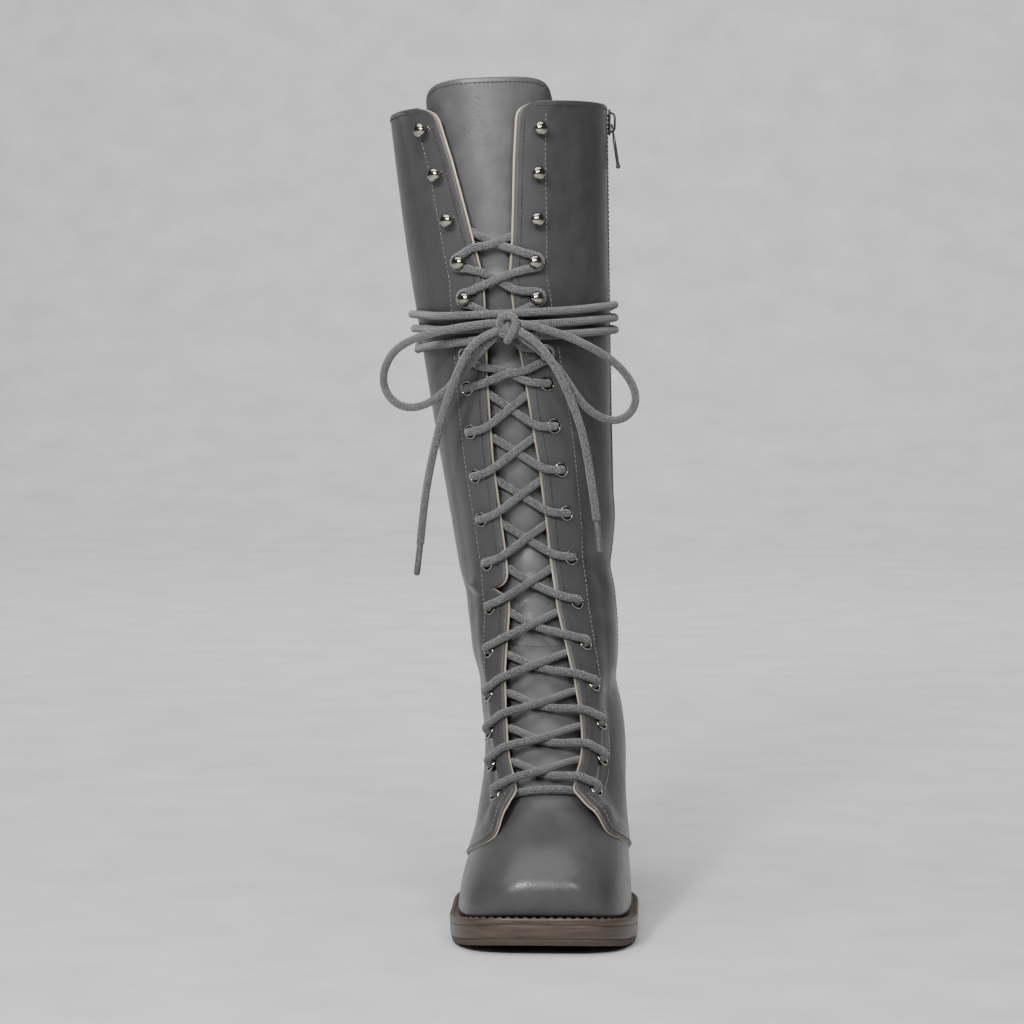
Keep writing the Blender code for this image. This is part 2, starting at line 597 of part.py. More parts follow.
def make_tongue(root, finishes):
    """Tongue from the end of the vamp to above the collar, its top crowned with round corners."""
    shares = np.linspace(-1.0, 1.0, 7)
    steps = np.linspace(0.0, 1.0, 19)
    start = VAMP_END_ROW + TONGUE_START
    top = TONGUE_TOP_ROW + TONGUE_CROWN * np.sqrt(1.0 - TONGUE_CORNER * np.abs(shares) ** 4)
    rows = start + steps[:, None] * (top - start)[None, :]
    narrow, wide = TONGUE_LAP
    low, high = TONGUE_WIDENS
    width = half_gap(rows) + narrow + (wide - narrow) * smooth((rows - low) / (high - low))
    low, high = TONGUE_INNER_WIDENS
    width += (shares > 0.0) * TONGUE_INNER_LAP * smooth((rows - low) / (high - low))
    angles = np.zeros_like(rows)
    for j, share in enumerate(shares):
        angles[:, j] = angle_at(rows[:, j], abs(share) * width[:, j], 1 if share >= 0.0 else -1)
    level = tongue_level(rows)
    outer, inner = skin(angles, rows, level), skin(angles, rows, level - TONGUE_THICK)
    present = np.ones((len(steps) - 1, len(shares) - 1), bool)
    add("tongue", shell("tongue", outer, inner, present), finishes["leather"], root)


def facing_rows(throat):
    """Lengths along a facing where its grid has a row, with the depth of the notch there."""
    tip = FACING_TIP[throat.side]
    rows = [(tip, 0.0), (tip + 0.7, 0.0)]
    for hole in throat.rows_of_holes():
        rows += [(hole - EYELET_HOLE, 0.0), (hole + EYELET_HOLE, 0.0)]
    rows += [(hook, 0.0) for hook in throat.rows_of_hooks()]
    rows += [(throat.collar - CORNER_RADIUS, 0.0)]
    if throat.side < 0:
        middle = throat.at_height(NOTCH_HEIGHT)
        rows += [(middle - NOTCH_HALF, 0.0), (middle, NOTCH_DEPTH), (middle + NOTCH_HALF, 0.0)]
    return np.array(sorted(rows))


def collar_edge(throat, across):
    """Angles and rows of the top of a facing, its corner rounded."""
    angles = throat.side * np.linspace(0.0, 1.6, 200)
    points = surface(angles, COLLAR_ROW)
    length = np.concatenate(((0.0,), np.cumsum(np.linalg.norm(np.diff(points, axis=0), axis=1))))
    start = np.interp(throat.collar, throat.length, np.abs(throat.angle))
    start = np.interp(start, np.abs(angles), length)
    inset = CORNER_RADIUS * (1.0 - math.sqrt(0.5))
    across = np.array((inset, CORNER_RADIUS, *across[2:]))
    drop = np.array((inset, 0.0, 0.0, 0.0)) / (SECTIONS[17][1] - SECTIONS[16][1])
    return throat.side * np.interp(start + across, length, np.abs(angles)), COLLAR_ROW - 0.01 - drop


def make_facing(name, side, root, finishes):
    """Strip of leather along the throat with a square hole under each eyelet."""
    throat = THROATS[side]
    table = facing_rows(throat)
    along, notch = table[:, 0], table[:, 1]
    columns = np.array((0.0, EYELET_ACROSS - EYELET_HOLE, EYELET_ACROSS + EYELET_HOLE, FACING_WIDTH))
    across = notch[:, None] + columns[None, :] * (1.0 - notch[:, None] / FACING_WIDTH)
    along = np.repeat(along[:, None], 4, 1)
    along[0] += derby_drop(side, across[0])
    along[1] += 0.45 * derby_drop(side, across[1])
    angles, rows = throat.place(along, across)
    top_angles, top_rows = collar_edge(throat, columns)
    angles, rows = np.vstack((angles, top_angles)), np.vstack((rows, top_rows))
    height = FACING_SEAT + lift(rows, np.vstack((across, columns)))
    outer, inner = skin(angles, rows, height + FACING_THICK), skin(angles, rows, height)
    present = np.ones((len(rows) - 1, 3), bool)
    for hole in throat.rows_of_holes():
        present[np.argmin(np.abs(table[:, 0] - hole + EYELET_HOLE)), 1] = False
    add(name, shell(name, outer, inner, present), finishes["facing"], root)


def frame_on_facing(side, along, beside=EYELET_ACROSS):
    """Place on the top of a facing at an eyelet or hook, with its directions along, across and outwards."""
    half = EYELET_HOLE * np.array(((-1.0, -1.0), (-1.0, 1.0), (1.0, 1.0), (1.0, -1.0)))
    across = beside + half[:, 1]
    angles, rows = THROATS[side].place(along + half[:, 0], across)
    corners = skin(angles, rows, FACING_SEAT + FACING_THICK + lift(rows, across))
    up = unit(corners[2] + corners[3] - corners[0] - corners[1])
    normal = unit(np.cross(corners[2] - corners[0], corners[3] - corners[1])) * side
    return corners.mean(0), up, side * np.cross(up, normal), normal


def turned(name, profile):
    """Mesh of a profile of radius and height spun about Z."""
    shape = bmesh.new()
    corners = [shape.verts.new((radius * MM, 0.0, height * MM)) for radius, height in profile]
    closed = profile[0][0] > 0.0
    count = len(corners)
    pairs = [(i, (i + 1) % count) for i in range(count if closed else count - 1)]
    edges = [shape.edges.new((corners[i], corners[j])) for i, j in pairs]
    bmesh.ops.spin(shape, geom=corners + edges, cent=(0, 0, 0), axis=(0, 0, 1), angle=2.0 * math.pi,
                   steps=TURNED_SIDES, use_merge=True)
    bmesh.ops.remove_doubles(shape, verts=shape.verts, dist=1e-7)
    bmesh.ops.recalc_face_normals(shape, faces=shape.faces)
    mesh = bpy.data.meshes.new(name)
    shape.to_mesh(mesh)
    shape.free()
    mesh.shade_smooth()
    mesh.set_sharp_from_angle(angle=math.radians(50.0))
    return mesh


def make_eyelets_and_hooks(root, finishes):
    eyelet, hook = turned("eyelet", EYELET_PROFILE), turned("hook", HOOK_PROFILE)
    for side, side_name in ((-1, "lateral"), (1, "medial")):
        throat = THROATS[side]
        fittings = [("eyelet", eyelet, throat.rows_of_holes(), EYELET_ACROSS),
                    ("hook", hook, throat.rows_of_hooks(), HOOK_ACROSS[side])]
        for kind, mesh, rows, beside in fittings:
            for number, along in enumerate(rows, 1):
                place, _, _, normal = frame_on_facing(side, along, beside)
                made = add(f"{kind}_{side_name}_{number:02d}", mesh, finishes["nickel"], root)
                made.location = Vector(place + normal * SEAT) * MM
                made.rotation_mode = "QUATERNION"
                made.rotation_quaternion = Vector(normal).to_track_quat("Z", "Y")


def curve_of(name, points, diameter, sides):
    """Tube along points, as a curve with a round bevel and filled ends."""
    curve = bpy.data.curves.new(name, "CURVE")
    curve.dimensions = "3D"
    curve.bevel_depth = diameter * MM / 2.0
    curve.bevel_resolution = (sides - 4) // 2
    curve.resolution_u = 1
    curve.use_fill_caps = True
    line = curve.splines.new("POLY")
    line.points.add(len(points) - 1)
    for target, point in zip(line.points, points):
        target.co = (*(Vector(point) * MM), 1.0)
    return curve


def over_facing(side, along, across, above):
    """Point at a height above the top of a facing."""
    angle, row = THROATS[side].place(np.array((along,)), np.array((across,)))
    return skin(angle, row, FACING_SEAT + FACING_THICK + lift(row, max(across, 0.0)) + above)[0]


def under_facing(side, along, across, below):
    """Point at a depth below the underside of a facing."""
    angle, row = THROATS[side].place(np.array((along,)), np.array((across,)))
    return skin(angle, row, FACING_SEAT + lift(row, max(across, 0.0)) - below)[0]


def in_eyelet(side, along):
    """Points of the lace below and above an eyelet."""
    place, _, _, normal = frame_on_facing(side, along)
    return place - normal * (FACING_THICK + LACE_UNDER), place + normal * EXIT_RISE


def over_tongue(height_row, above):
    """Point on the middle of the tongue at a row, raised above it."""
    row = np.array((height_row,))
    return skin(np.zeros(1), row, tongue_level(row) + above)[0]


def row_of(side, along):
    return float(THROATS[side].place(np.array((along,)), np.array((0.0,)))[1][0])


def middle_row(alongs):
    """Row halfway between lengths along the two facings."""
    return sum(row_of(side, along) for side, along in alongs.items()) / 2.0


def bar_to_eyelet(side, start, end, cross_row):
    """Lace from the top of one eyelet over the tongue and under the other facing up into its eyelet."""
    top = side < 0
    dive = end - (1.0 - DIVE_RISE) * (end - start)
    return [
        in_eyelet(side, start)[1],
        over_facing(side, start + 1.0, 3.2, LACE_CLEAR + 0.5),
        over_facing(side, start + 2.6, -1.2, LACE_CLEAR),
        over_tongue(cross_row, OVER_RISE if top else TONGUE_CLEAR),
        under_facing(-side, dive - 1.5, -1.4, LACE_CLEAR - 0.4),
        under_facing(-side, dive, 2.4, LACE_UNDER),
        in_eyelet(-side, end)[0],
    ]


def round_hook(side, along):
    """Lace round the outer side of a hook's stem, from below to above."""
    turn = ((-1.0, -1.0), (0.75, -0.74), (1.0, 0.0), (0.75, 0.74), (-1.0, 1.0))
    place, up, across, normal = frame_on_facing(side, along, HOOK_ACROSS[side])
    middle = place + normal * (SEAT + STEM_LOW + STEM_HIGH) / 2.0
    return [middle + HOOK_REACH * (rise * up + out * across) + normal * 0.3 for out, rise in turn]


def half_lace(side):
    """One half of the lace, from the lowest eyelet on a side up to its hidden end behind a facing."""
    holes = {s: THROATS[s].rows_of_holes() for s in (-1, 1)}
    hooks = {s: THROATS[s].rows_of_hooks() for s in (-1, 1)}
    points = [in_eyelet(side, holes[side][0])[0]]
    for k in range(EYELETS - 1):
        levels = {s: holes[s][k] + CROSS_RISE * (holes[s][k + 1] - holes[s][k]) for s in (-1, 1)}
        points += bar_to_eyelet(side, holes[side][k], holes[-side][k + 1], middle_row(levels))
        side = -side
    points += [in_eyelet(side, holes[side][-1])[1]]
    start = holes[side][-1]
    for k in range(HOOKS_LACED):
        end = hooks[-side][k]
        levels = {side: start + 0.5 * (end - start), -side: start + 0.5 * (end - start)}
        top = side < 0
        leave = start + (2.0 if k == 0 else HOOK_REACH + 1.0)
        points += [
            over_facing(side, leave, 2.0, LACE_CLEAR + 0.6),
            over_facing(side, leave + 1.0, -1.2, LACE_CLEAR + 0.1),
            over_tongue(middle_row(levels), HOOK_OVER_RISE if top else HOOK_UNDER_RISE),
            over_facing(-side, end - HOOK_REACH - 2.5, -1.2, LACE_CLEAR + 0.1),
            over_facing(-side, end - HOOK_REACH - 1.5, 2.0, LACE_CLEAR + 0.6),
        ]
        points += round_hook(-side, end)
        side, start = -side, end
    tuck = THROATS[-side].at_height(TUCK_HEIGHT)
    rise = start + 0.55 * (tuck - start)
    points += [
        over_facing(side, start + HOOK_REACH + 1.0, 2.0, LACE_CLEAR + 0.6),
        over_facing(side, start + HOOK_REACH + 2.0, -1.2, LACE_CLEAR + 0.1),
        over_tongue(middle_row({side: rise, -side: rise}), OVER_RISE if side < 0 else TONGUE_CLEAR),
        under_facing(-side, tuck - 1.5, -1.4, LACE_CLEAR - 0.4),
        under_facing(-side, tuck, 2.4, LACE_UNDER),
        under_facing(-side, tuck + 1.0, TUCK_DEPTH, LACE_UNDER),
    ]
    return points


def make_lace(root, finishes):
    """Lace in one length: up both sides from a straight bar between the lowest eyelets."""
    lowest = {s: THROATS[s].rows_of_holes()[0] for s in (-1, 1)}
    bar = [under_facing(-1, lowest[-1], 2.0, LACE_UNDER),
           over_tongue(middle_row(lowest), TONGUE_CLEAR),
           under_facing(1, lowest[1], 2.0, LACE_UNDER)]
    points = half_lace(-1)[::-1] + bar + half_lace(1)
    add("lace", curve_of("lace", points, LACE, LACE_SIDES), finishes["cord"], root)


def wrap_points(table):
    """Points of a turn of the lace round the shaft, raised over the facings and where it crosses itself."""
    ends = table[(0, -1), 0]
    turn = np.linspace(*ends, round(abs(ends[1] - ends[0]) / WRAP_STEP) + 1)
    order = np.argsort(table[:, 0])
    height = np.interp(turn, table[order, 0], table[order, 1])
    from_shin = np.abs((turn + 180.0) % 360.0 - 180.0)
    near, far = WRAP_FRONT
    rise = (WRAP_FRONT_LEVEL - WRAP_LEVEL) * (1.0 - smooth((from_shin - near) / (far - near)))
    start, full, leave, end = WRAP_CROSSING
    over = smooth((turn - start) / (full - start)) * (1.0 - smooth((turn - leave) / (end - leave)))
    return skin(np.radians(turn), row_at(height), WRAP_LEVEL + rise + over * WRAP_CROSSING_LEVEL)


def along_route(points):
    """Fine points of a smooth curve through a route, with the length up to each."""
    table = np.array(points)
    fine = spline(table, spline_bends(table), np.linspace(0.0, len(table) - 1.0, 300))
    steps = np.linalg.norm(np.diff(fine, axis=0), axis=1)
    return fine, np.concatenate(((0.0,), np.cumsum(steps)))


def stretch(fine, length, start, end):
    """Even points between two lengths of a curve."""
    at = np.linspace(start, end, max(round((end - start) / BOW_STEP), 1) + 1)
    return np.stack([np.interp(at, length, fine[:, k]) for k in range(3)], -1)


def make_bow(root, finishes):
    """Turns round the shaft, knot, two loops and two ends with their aglets."""
    for name, table in (("lace_wrap_long", LONG_WRAP), ("lace_wrap_short", SHORT_WRAP)):
        add(name, curve_of(name, wrap_points(table), LACE, LACE_SIDES), finishes["cord"], root)
    shape = bmesh.new()
    bmesh.ops.create_icosphere(shape, subdivisions=2, radius=1.0)
    bmesh.ops.scale(shape, vec=Vector(KNOT_HALF) * MM, verts=shape.verts)
    bmesh.ops.translate(shape, vec=Vector(KNOT_MIDDLE) * MM, verts=shape.verts)
    knot = bpy.data.meshes.new("lace_knot")
    shape.to_mesh(knot)
    shape.free()
    add("lace_knot", knot, finishes["cord"], root)
    for name, route in BOW_ROUTES.items():
        fine, length = along_route(route)
        end = length[-1]
        if name.startswith("lace_end"):
            tip = name.replace("lace_end", "aglet")
            points = stretch(fine, length, end - AGLET_LENGTH, end)
            add(tip, curve_of(tip, points, AGLET, LACE_SIDES), finishes["aglet"], root)
            end -= AGLET_LENGTH + GAP
        add(name, curve_of(name, stretch(fine, length, 0.0, end), LACE, LACE_SIDES), finishes["cord"], root)


def bar(name, profile, width):
    """Side profile of distance out and up, made as wide as a width along Y."""
    count = len(profile)
    points = [(out, side * width / 2.0, up) for side in (-1.0, 1.0) for out, up in profile]
    faces = [tuple(range(count)), tuple(range(count, 2 * count))]
    faces += [(i, (i + 1) % count, count + (i + 1) % count, count + i) for i in range(count)]
    return mesh_of(name, points, faces)


def make_slider_and_pull(root, finishes):
    """Slider on the chain with a bridge, and the pull that swings on it with its origin on the hinge."""
    rows = np.linspace(VAMP_END_ROW, COLLAR_ROW, 200)
    middle = np.mean(zip_angles(rows), axis=0)
    chain = surface(middle, rows)
    back = Vector([np.interp(SLIDER_Z, chain[:, 2], chain[:, k]) for k in range(3)])
    back.x += SLIDER_SEAT
    thick, width, height = SLIDER_PLATE
    top, shoulder = height / 2.0, height / 2.0 - thick
    side = ((0.0, -top), (thick, -shoulder), (thick, shoulder), (0.0, top))
    slider = add("zip_slider", bar("zip_slider", side, width), finishes["nickel"], root)
    slider.location = back * MM
    bridge = add("bridge_tool", bar("bridge_tool", BRIDGE, BRIDGE_WIDTH), finishes["nickel"], root)
    bridge.location = back * MM
    bridge.hide_render = True
    bridge.display_type = "WIRE"
    union = slider.modifiers.new("bridge", "BOOLEAN")
    union.operation = "UNION"
    union.solver = "EXACT"
    union.object = bridge
    drop, half, deep = PULL[:, :1], PULL[:, 1:2], PULL[:, 2:]
    edge = np.minimum(PULL_EYE, half)
    across = np.hstack((-half, -edge, edge, half))
    lean = math.radians(PULL_TILT)
    down, out = Vector((math.sin(lean), 0.0, -math.cos(lean))), Vector((math.cos(lean), 0.0, math.sin(lean)))
    faces = [drop[..., None] * np.array(down) + across[..., None] * np.array((0.0, 1.0, 0.0))
             + side * deep[..., None] / 2.0 * np.array(out) for side in (1.0, -1.0)]
    present = np.ones((len(PULL) - 1, 3), bool)
    present[1, 1] = False
    pull = add("zip_pull", shell("zip_pull", *faces, present), finishes["nickel"], root)
    pull.location = (back + Vector((PULL_HINGE[0], 0.0, PULL_HINGE[1]))) * MM


def main():
    for old in list(bpy.data.objects):
        bpy.data.objects.remove(old)
    root = bpy.data.objects.new("boot", None)
    bpy.context.scene.collection.objects.link(root)
    root.location = -ORIGIN * MM
    finishes = {
        "leather": material("leather", (0.115, 0.115, 0.12), 0.5),
        "facing": material("facing", (0.085, 0.085, 0.088), 0.62),
        "insole": material("insole", (0.35, 0.29, 0.22), 0.7),
        "sole_leather": material("sole_leather", (0.085, 0.05, 0.035), 0.5),
        "welt": material("welt", (0.05, 0.034, 0.026), 0.55),
        "heel": material("heel", (0.07, 0.042, 0.03), 0.5),
        "tread": material("tread", (0.03, 0.024, 0.021), 0.7),
        "nickel": material("nickel", (0.75, 0.74, 0.72), 0.18, 1.0),
        "zip": material("zip", (0.03, 0.03, 0.032), 0.5, 0.3),
        "cord": material("cord", (0.12, 0.12, 0.125), 0.85),
        "aglet": material("aglet", (0.1, 0.1, 0.105), 0.35),
    }
    make_sole(root, finishes)
    make_upper(root, finishes)
    make_tongue(root, finishes)
    make_facing("facing_lateral", -1, root, finishes)
    make_facing("facing_medial", 1, root, finishes)
    make_eyelets_and_hooks(root, finishes)
    make_lace(root, finishes)
    make_bow(root, finishes)
    make_slider_and_pull(root, finishes)


main()
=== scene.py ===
import math

import bmesh
import bpy
import numpy as np
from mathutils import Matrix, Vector


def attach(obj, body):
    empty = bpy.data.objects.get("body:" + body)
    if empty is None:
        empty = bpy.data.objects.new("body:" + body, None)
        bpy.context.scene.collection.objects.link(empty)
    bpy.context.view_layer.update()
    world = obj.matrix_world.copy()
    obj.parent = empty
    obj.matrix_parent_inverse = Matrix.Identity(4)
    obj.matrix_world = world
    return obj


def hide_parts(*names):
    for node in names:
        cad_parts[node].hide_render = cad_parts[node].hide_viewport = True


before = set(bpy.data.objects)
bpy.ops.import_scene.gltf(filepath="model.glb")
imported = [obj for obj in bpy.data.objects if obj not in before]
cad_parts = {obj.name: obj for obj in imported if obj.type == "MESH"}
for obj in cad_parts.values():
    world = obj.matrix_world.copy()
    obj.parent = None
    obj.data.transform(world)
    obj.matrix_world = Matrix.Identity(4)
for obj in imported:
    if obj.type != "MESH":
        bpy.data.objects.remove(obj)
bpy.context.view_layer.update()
print("frame loaded:", len(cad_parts), "nodes")

mm = 0.001
# The boot is drawn about its ankle, and this is the row frame's origin there
originMm = np.array((-17.6, -62.7, 0.0))

# The photo's place of the camera: low, far off and a little to the inner side
cameraView = {"place": (75.6, -1937.3, 330.0), "aim": (-1.3, 62.7, 202.0), "lens": 132.6}


# One camera that looks from its place to its aim
def addCamera(view):
    data = bpy.data.cameras.new("camera")
    data.lens = view["lens"]
    data.clip_end = 50.0
    made = bpy.data.objects.new("camera", data)
    bpy.context.scene.collection.objects.link(made)
    made.location = Vector(view["place"]) * mm
    look = Vector(view["aim"]) - Vector(view["place"])
    made.rotation_euler = look.to_track_quat("-Z", "Y").to_euler()
    bpy.context.scene.camera = made


addCamera(cameraView)
print("camera set")

# The last: one row for each section from the feather line to above the collar, sizes in millimetres
last = {
    "columns": ("frontY", "frontZ", "backY", "backZ", "frontX", "backX",
                "lateral", "medial", "bend", "rear", "waist", "lean", "ball"),
    "rows": np.array([
        (-197.0, 19.0, 62.0, 38.0, 5.0, -1.0, -41.6, 47.0, 2.4, 0.72, 8.0, 0.0, 0.61),
        (-199.0, 27.0, 65.0, 47.0, 5.0, -1.0, -40.3, 46.4, 2.3, 0.75, 7.0, 0.0, 0.63),
        (-197.5, 36.5, 66.3, 56.0, 5.0, -1.0, -36.6, 45.4, 2.2, 0.78, 5.5, 0.0, 0.68),
        (-189.5, 45.5, 66.0, 65.0, 4.8, -1.0, -33.6, 44.4, 2.15, 0.81, 4.0, 0.0, 0.77),
        (-177.0, 53.0, 64.5, 74.0, 4.5, -1.0, -32.6, 43.6, 2.1, 0.85, 2.5, 0.0, 0.87),
        (-160.0, 60.5, 62.5, 83.0, 4.0, -1.0, -31.8, 43.4, 2.05, 0.89, 1.0, 0.0, 0.96),
        (-141.0, 71.0, 60.5, 92.0, 3.1, -1.0, -31.6, 43.3, 2.0, 0.93, 0.0, 0.0, 1.0),
        (-121.0, 86.0, 58.5, 101.5, 2.6, -1.0, -32.2, 42.0, 2.0, 0.97, 0.0, 0.0, 1.0),
        (-100.5, 104.0, 57.0, 113.0, 0.8, -1.0, -35.0, 39.8, 2.0, 0.99, 0.0, 0.0, 1.0),
        (-80.5, 123.0, 55.8, 127.5, -2.0, -1.2, -38.4, 38.3, 2.0, 1.0, 0.0, 0.0, 1.0),
        (-63.0, 143.0, 55.3, 144.5, -4.4, -2.0, -41.2, 37.2, 2.0, 1.0, 0.0, 0.0, 1.0),
        (-51.5, 163.5, 56.0, 163.5, -6.6, -3.2, -45.0, 35.4, 2.0, 1.0, 0.0, 0.0, 1.0),
        (-46.5, 185.0, 57.6, 185.0, -9.1, -4.5, -48.9, 34.6, 2.0, 1.0, 0.0, 0.01, 1.0),
        (-46.0, 212.0, 59.7, 212.0, -12.5, -6.6, -53.6, 34.6, 2.05, 1.0, 0.0, 0.02, 1.0),
        (-48.5, 250.0, 63.0, 250.0, -17.3, -10.0, -60.1, 33.8, 2.05, 1.0, 0.0, 0.03, 1.0),
        (-52.0, 300.0, 66.0, 300.0, -22.5, -13.0, -67.9, 32.9, 2.05, 1.0, 0.0, 0.04, 1.0),
        (-55.0, 350.0, 67.0, 350.0, -27.2, -15.5, -75.8, 32.1, 2.05, 1.0, 0.0, 0.045, 1.0),
        (-57.0, 418.0, 65.5, 414.0, -35.6, -18.0, -83.8, 31.2, 2.05, 1.0, 0.0, 0.05, 1.0),
        (-59.0, 470.0, 64.0, 466.0, -42.0, -20.0, -90.5, 30.5, 2.05, 1.0, 0.0, 0.05, 1.0),
    ]),
    "toeTip": -205.0, "toeBreak": -145.0, "toeSpring": 6.3,
    "archStart": -75.0, "archEnd": 25.0, "heelRise": 24.6, "stack": 13.7,
    "rearFrom": 0.35, "rearOver": 0.3, "waistAt": 0.6, "waistHalf": 0.13, "waistOuter": 0.18,
    "featherRows": 5.0,
}


# Ease from 0 to 1 with level ends: 3v^2 - 2v^3
def smooth(value):
    value = np.clip(value, 0.0, 1.0)
    return value * value * (3.0 - 2.0 * value)


# Second differences of a natural cubic spline through rows that are one apart
def splineBends(table):
    count = len(table)
    matrix = np.eye(count)
    right = np.zeros_like(table)
    inner = np.arange(1, count - 1)
    matrix[inner, inner - 1] = 1.0
    matrix[inner, inner] = 4.0
    matrix[inner, inner + 1] = 1.0
    right[inner] = 6.0 * (table[inner - 1] - 2.0 * table[inner] + table[inner + 1])
    return np.linalg.solve(matrix, right)


# Natural cubic spline: straight blend of two rows plus the cubes of the blend times their bends
def splineAt(table, bends, at):
    at = np.asarray(at, float)
    low = np.clip(np.floor(at).astype(int), 0, len(table) - 2)
    b = (at - low)[..., None]
    a = 1.0 - b
    bent = (a ** 3 - a) * bends[low] + (b ** 3 - b) * bends[low + 1]
    return a * table[low] + b * table[low + 1] + bent / 6.0


lastBends = splineBends(last["rows"])


# Sizes of the last at a row: the spline through its table, one value for each column
def section(row):
    values = splineAt(last["rows"], lastBends, row)
    return {name: values[..., k] for k, name in enumerate(last["columns"])}


# Height of the sole's underside: a parabola at the toe, a flat forefoot, an eased rise to the heel seat
def treadLine(y):
    toe = np.clip((last["toeBreak"] - y) / (last["toeBreak"] - last["toeTip"]), 0.0, None)
    rise = smooth((y - last["archStart"]) / (last["archEnd"] - last["archStart"]))
    return last["toeSpring"] * toe ** 2 + last["heelRise"] * rise


# Outside of the upper: each row is a superellipse of angle, 0 at the shin, 90 degrees on the inner side and
# 180 at the back; a power below 1 on the share of the way back moves its widest place towards the toe
def surfaceAt(angle, row):
    angle, row = np.broadcast_arrays(np.asarray(angle, float), np.asarray(row, float))
    c = section(row)
    share = (1.0 - np.cos(angle)) / 2.0
    inner = np.sin(angle) >= 0.0
    y = c["frontY"] + (c["backY"] - c["frontY"]) * share
    axis = c["frontX"] + (c["backX"] - c["frontX"]) * share
    along = np.abs(1.0 - 2.0 * share ** c["ball"])
    curve = (1.0 - along ** c["bend"]).clip(0.0) ** (1.0 / c["bend"])
    taper = 1.0 - (1.0 - c["rear"]) * smooth((share - last["rearFrom"]) / last["rearOver"])
    hollow = c["waist"] * np.exp(-((share - last["waistAt"]) / last["waistHalf"]) ** 2)
    x = axis + (np.where(inner, c["medial"], c["lateral"]) - axis) * curve * taper
    x = x - hollow * np.where(inner, 1.0, last["waistOuter"])
    first = last["rows"][0]
    featherY = first[0] + (first[2] - first[0]) * share
    feather = treadLine(featherY) + last["stack"] - (first[1] + (first[3] - first[1]) * share)
    z = c["frontZ"] + (c["backZ"] - c["frontZ"]) * share
    z = z + feather * np.clip(1.0 - row / last["featherRows"], 0.0, 1.0) ** 2 + c["lean"] * (x - axis)
    return np.stack((x, y, z), -1)


# Vectors scaled to a length of 1
def unit(vectors):
    return vectors / np.linalg.norm(vectors, axis=-1, keepdims=True)


# Slopes of the upper along angle and row, by central differences
def slopes(angle, row):
    step = 0.002
    byAngle = (surfaceAt(angle + step, row) - surfaceAt(angle - step, row)) / (2.0 * step)
    byRow = (surfaceAt(angle, row + step) - surfaceAt(angle, row - step)) / (2.0 * step)
    return byAngle, byRow


# Normal of the upper: cross product of its two slopes
def normalAt(angle, row):
    return unit(np.cross(*slopes(angle, row)))


# Point at a height above the upper, along its normal
def skin(angle, row, height):
    return surfaceAt(angle, row) + normalAt(angle, row) * np.asarray(height, float)[..., None]


# Row at which the middle of the shin reaches a height, read from a fine table
def rowAtHeight(height):
    rows = np.linspace(0.0, len(last["rows"]) - 1.0, 400)
    return np.interp(height, section(rows)["frontZ"], rows)


# Length along a line of points, from its start
def lengthOf(points):
    steps = np.linalg.norm(np.diff(points, axis=0), axis=-1)
    return np.concatenate((np.zeros_like(steps[:1]), np.cumsum(steps, axis=0)))


# Throat: half its width by height on the shin, the derby line below it in degrees and rows, the rounded
# collar corner and the flex notch
throat = {
    "gap": np.array([
        (60.0, 12.2), (68.0, 13.0), (76.0, 14.4), (81.0, 15.8), (89.0, 17.2), (104.6, 18.6), (120.7, 18.4),
        (137.6, 16.0), (154.5, 13.4), (181.5, 12.4), (196.0, 12.7), (231.0, 12.9), (271.0, 11.1),
        (300.0, 9.0), (326.0, 8.0), (346.0, 11.2), (386.0, 16.8), (413.0, 21.6), (440.0, 26.5),
    ]),
    "firstRow": 5.85, "collarRow": 16.955, "corner": 8.0,
    "tip": {-1: -4.3, 1: -2.5}, "tipRound": 3.6, "tipDrop": {-1: -5.142857, 1: -4.0},
    "derbyLine": {
        -1: ((112.0, 0.0), (90.0, 0.95), (66.0, 2.05), (49.5, 2.85), (39.5, 3.4), (33.6, 3.9), (29.8, 4.45),
             (27.2, 4.95), (25.3, 5.301)),
        1: ((110.0, 0.0), (92.0, 1.05), (74.0, 2.0), (58.5, 2.8), (46.5, 3.45), (38.0, 4.05), (31.5, 4.62),
            (26.4, 5.08), (22.8, 5.454)),
    },
    "notchHeight": 163.0, "notchHalf": (5.0, 8.6), "notchDepth": 9.0,
}
facing = {"width": 18.0, "thick": 2.0, "level": 2.4, "rootLevel": 0.2, "lift": 4.6, "liftRows": (6.3, 9.0),
          "fade": (13.0, 34.0)}
tongue = {"drop": 5.2, "vampDrop": 1.0, "thick": 2.2, "lap": (4.5, 11.0), "widens": (6.4, 9.0),
          "innerLap": 12.0, "innerWidens": (15.4, 16.8), "topRow": 16.92, "crown": 0.245, "crownFrom": 15.5,
          "corner": 0.9, "topLap": {-1: 10.0, 1: 5.5}, "tilt": 0.085, "seams": (158.6, 139.8),
          "groove": (0.9, 0.45), "fallBack": (1.6, 8.0), "fallRows": (12.0, 15.5)}
fittings = {"eyelets": 11, "across": 9.3, "first": {-1: 0.0, 1: 2.5}, "last": {-1: 269.5, 1: 272.0},
            "spread": 0.94, "hole": 3.0, "hooks": (287.0, 316.3, 334.8, 356.5, 380.0, 403.0),
            "hookAcross": {-1: 6.2, 1: 9.3}, "laced": 3, "cutRadius": 3.3, "cutDepth": 9.0}
zipLine = {"y": 9.0, "half": 3.4, "footRow": 7.6, "sliderZ": 408.5, "sliderSeat": 0.45}


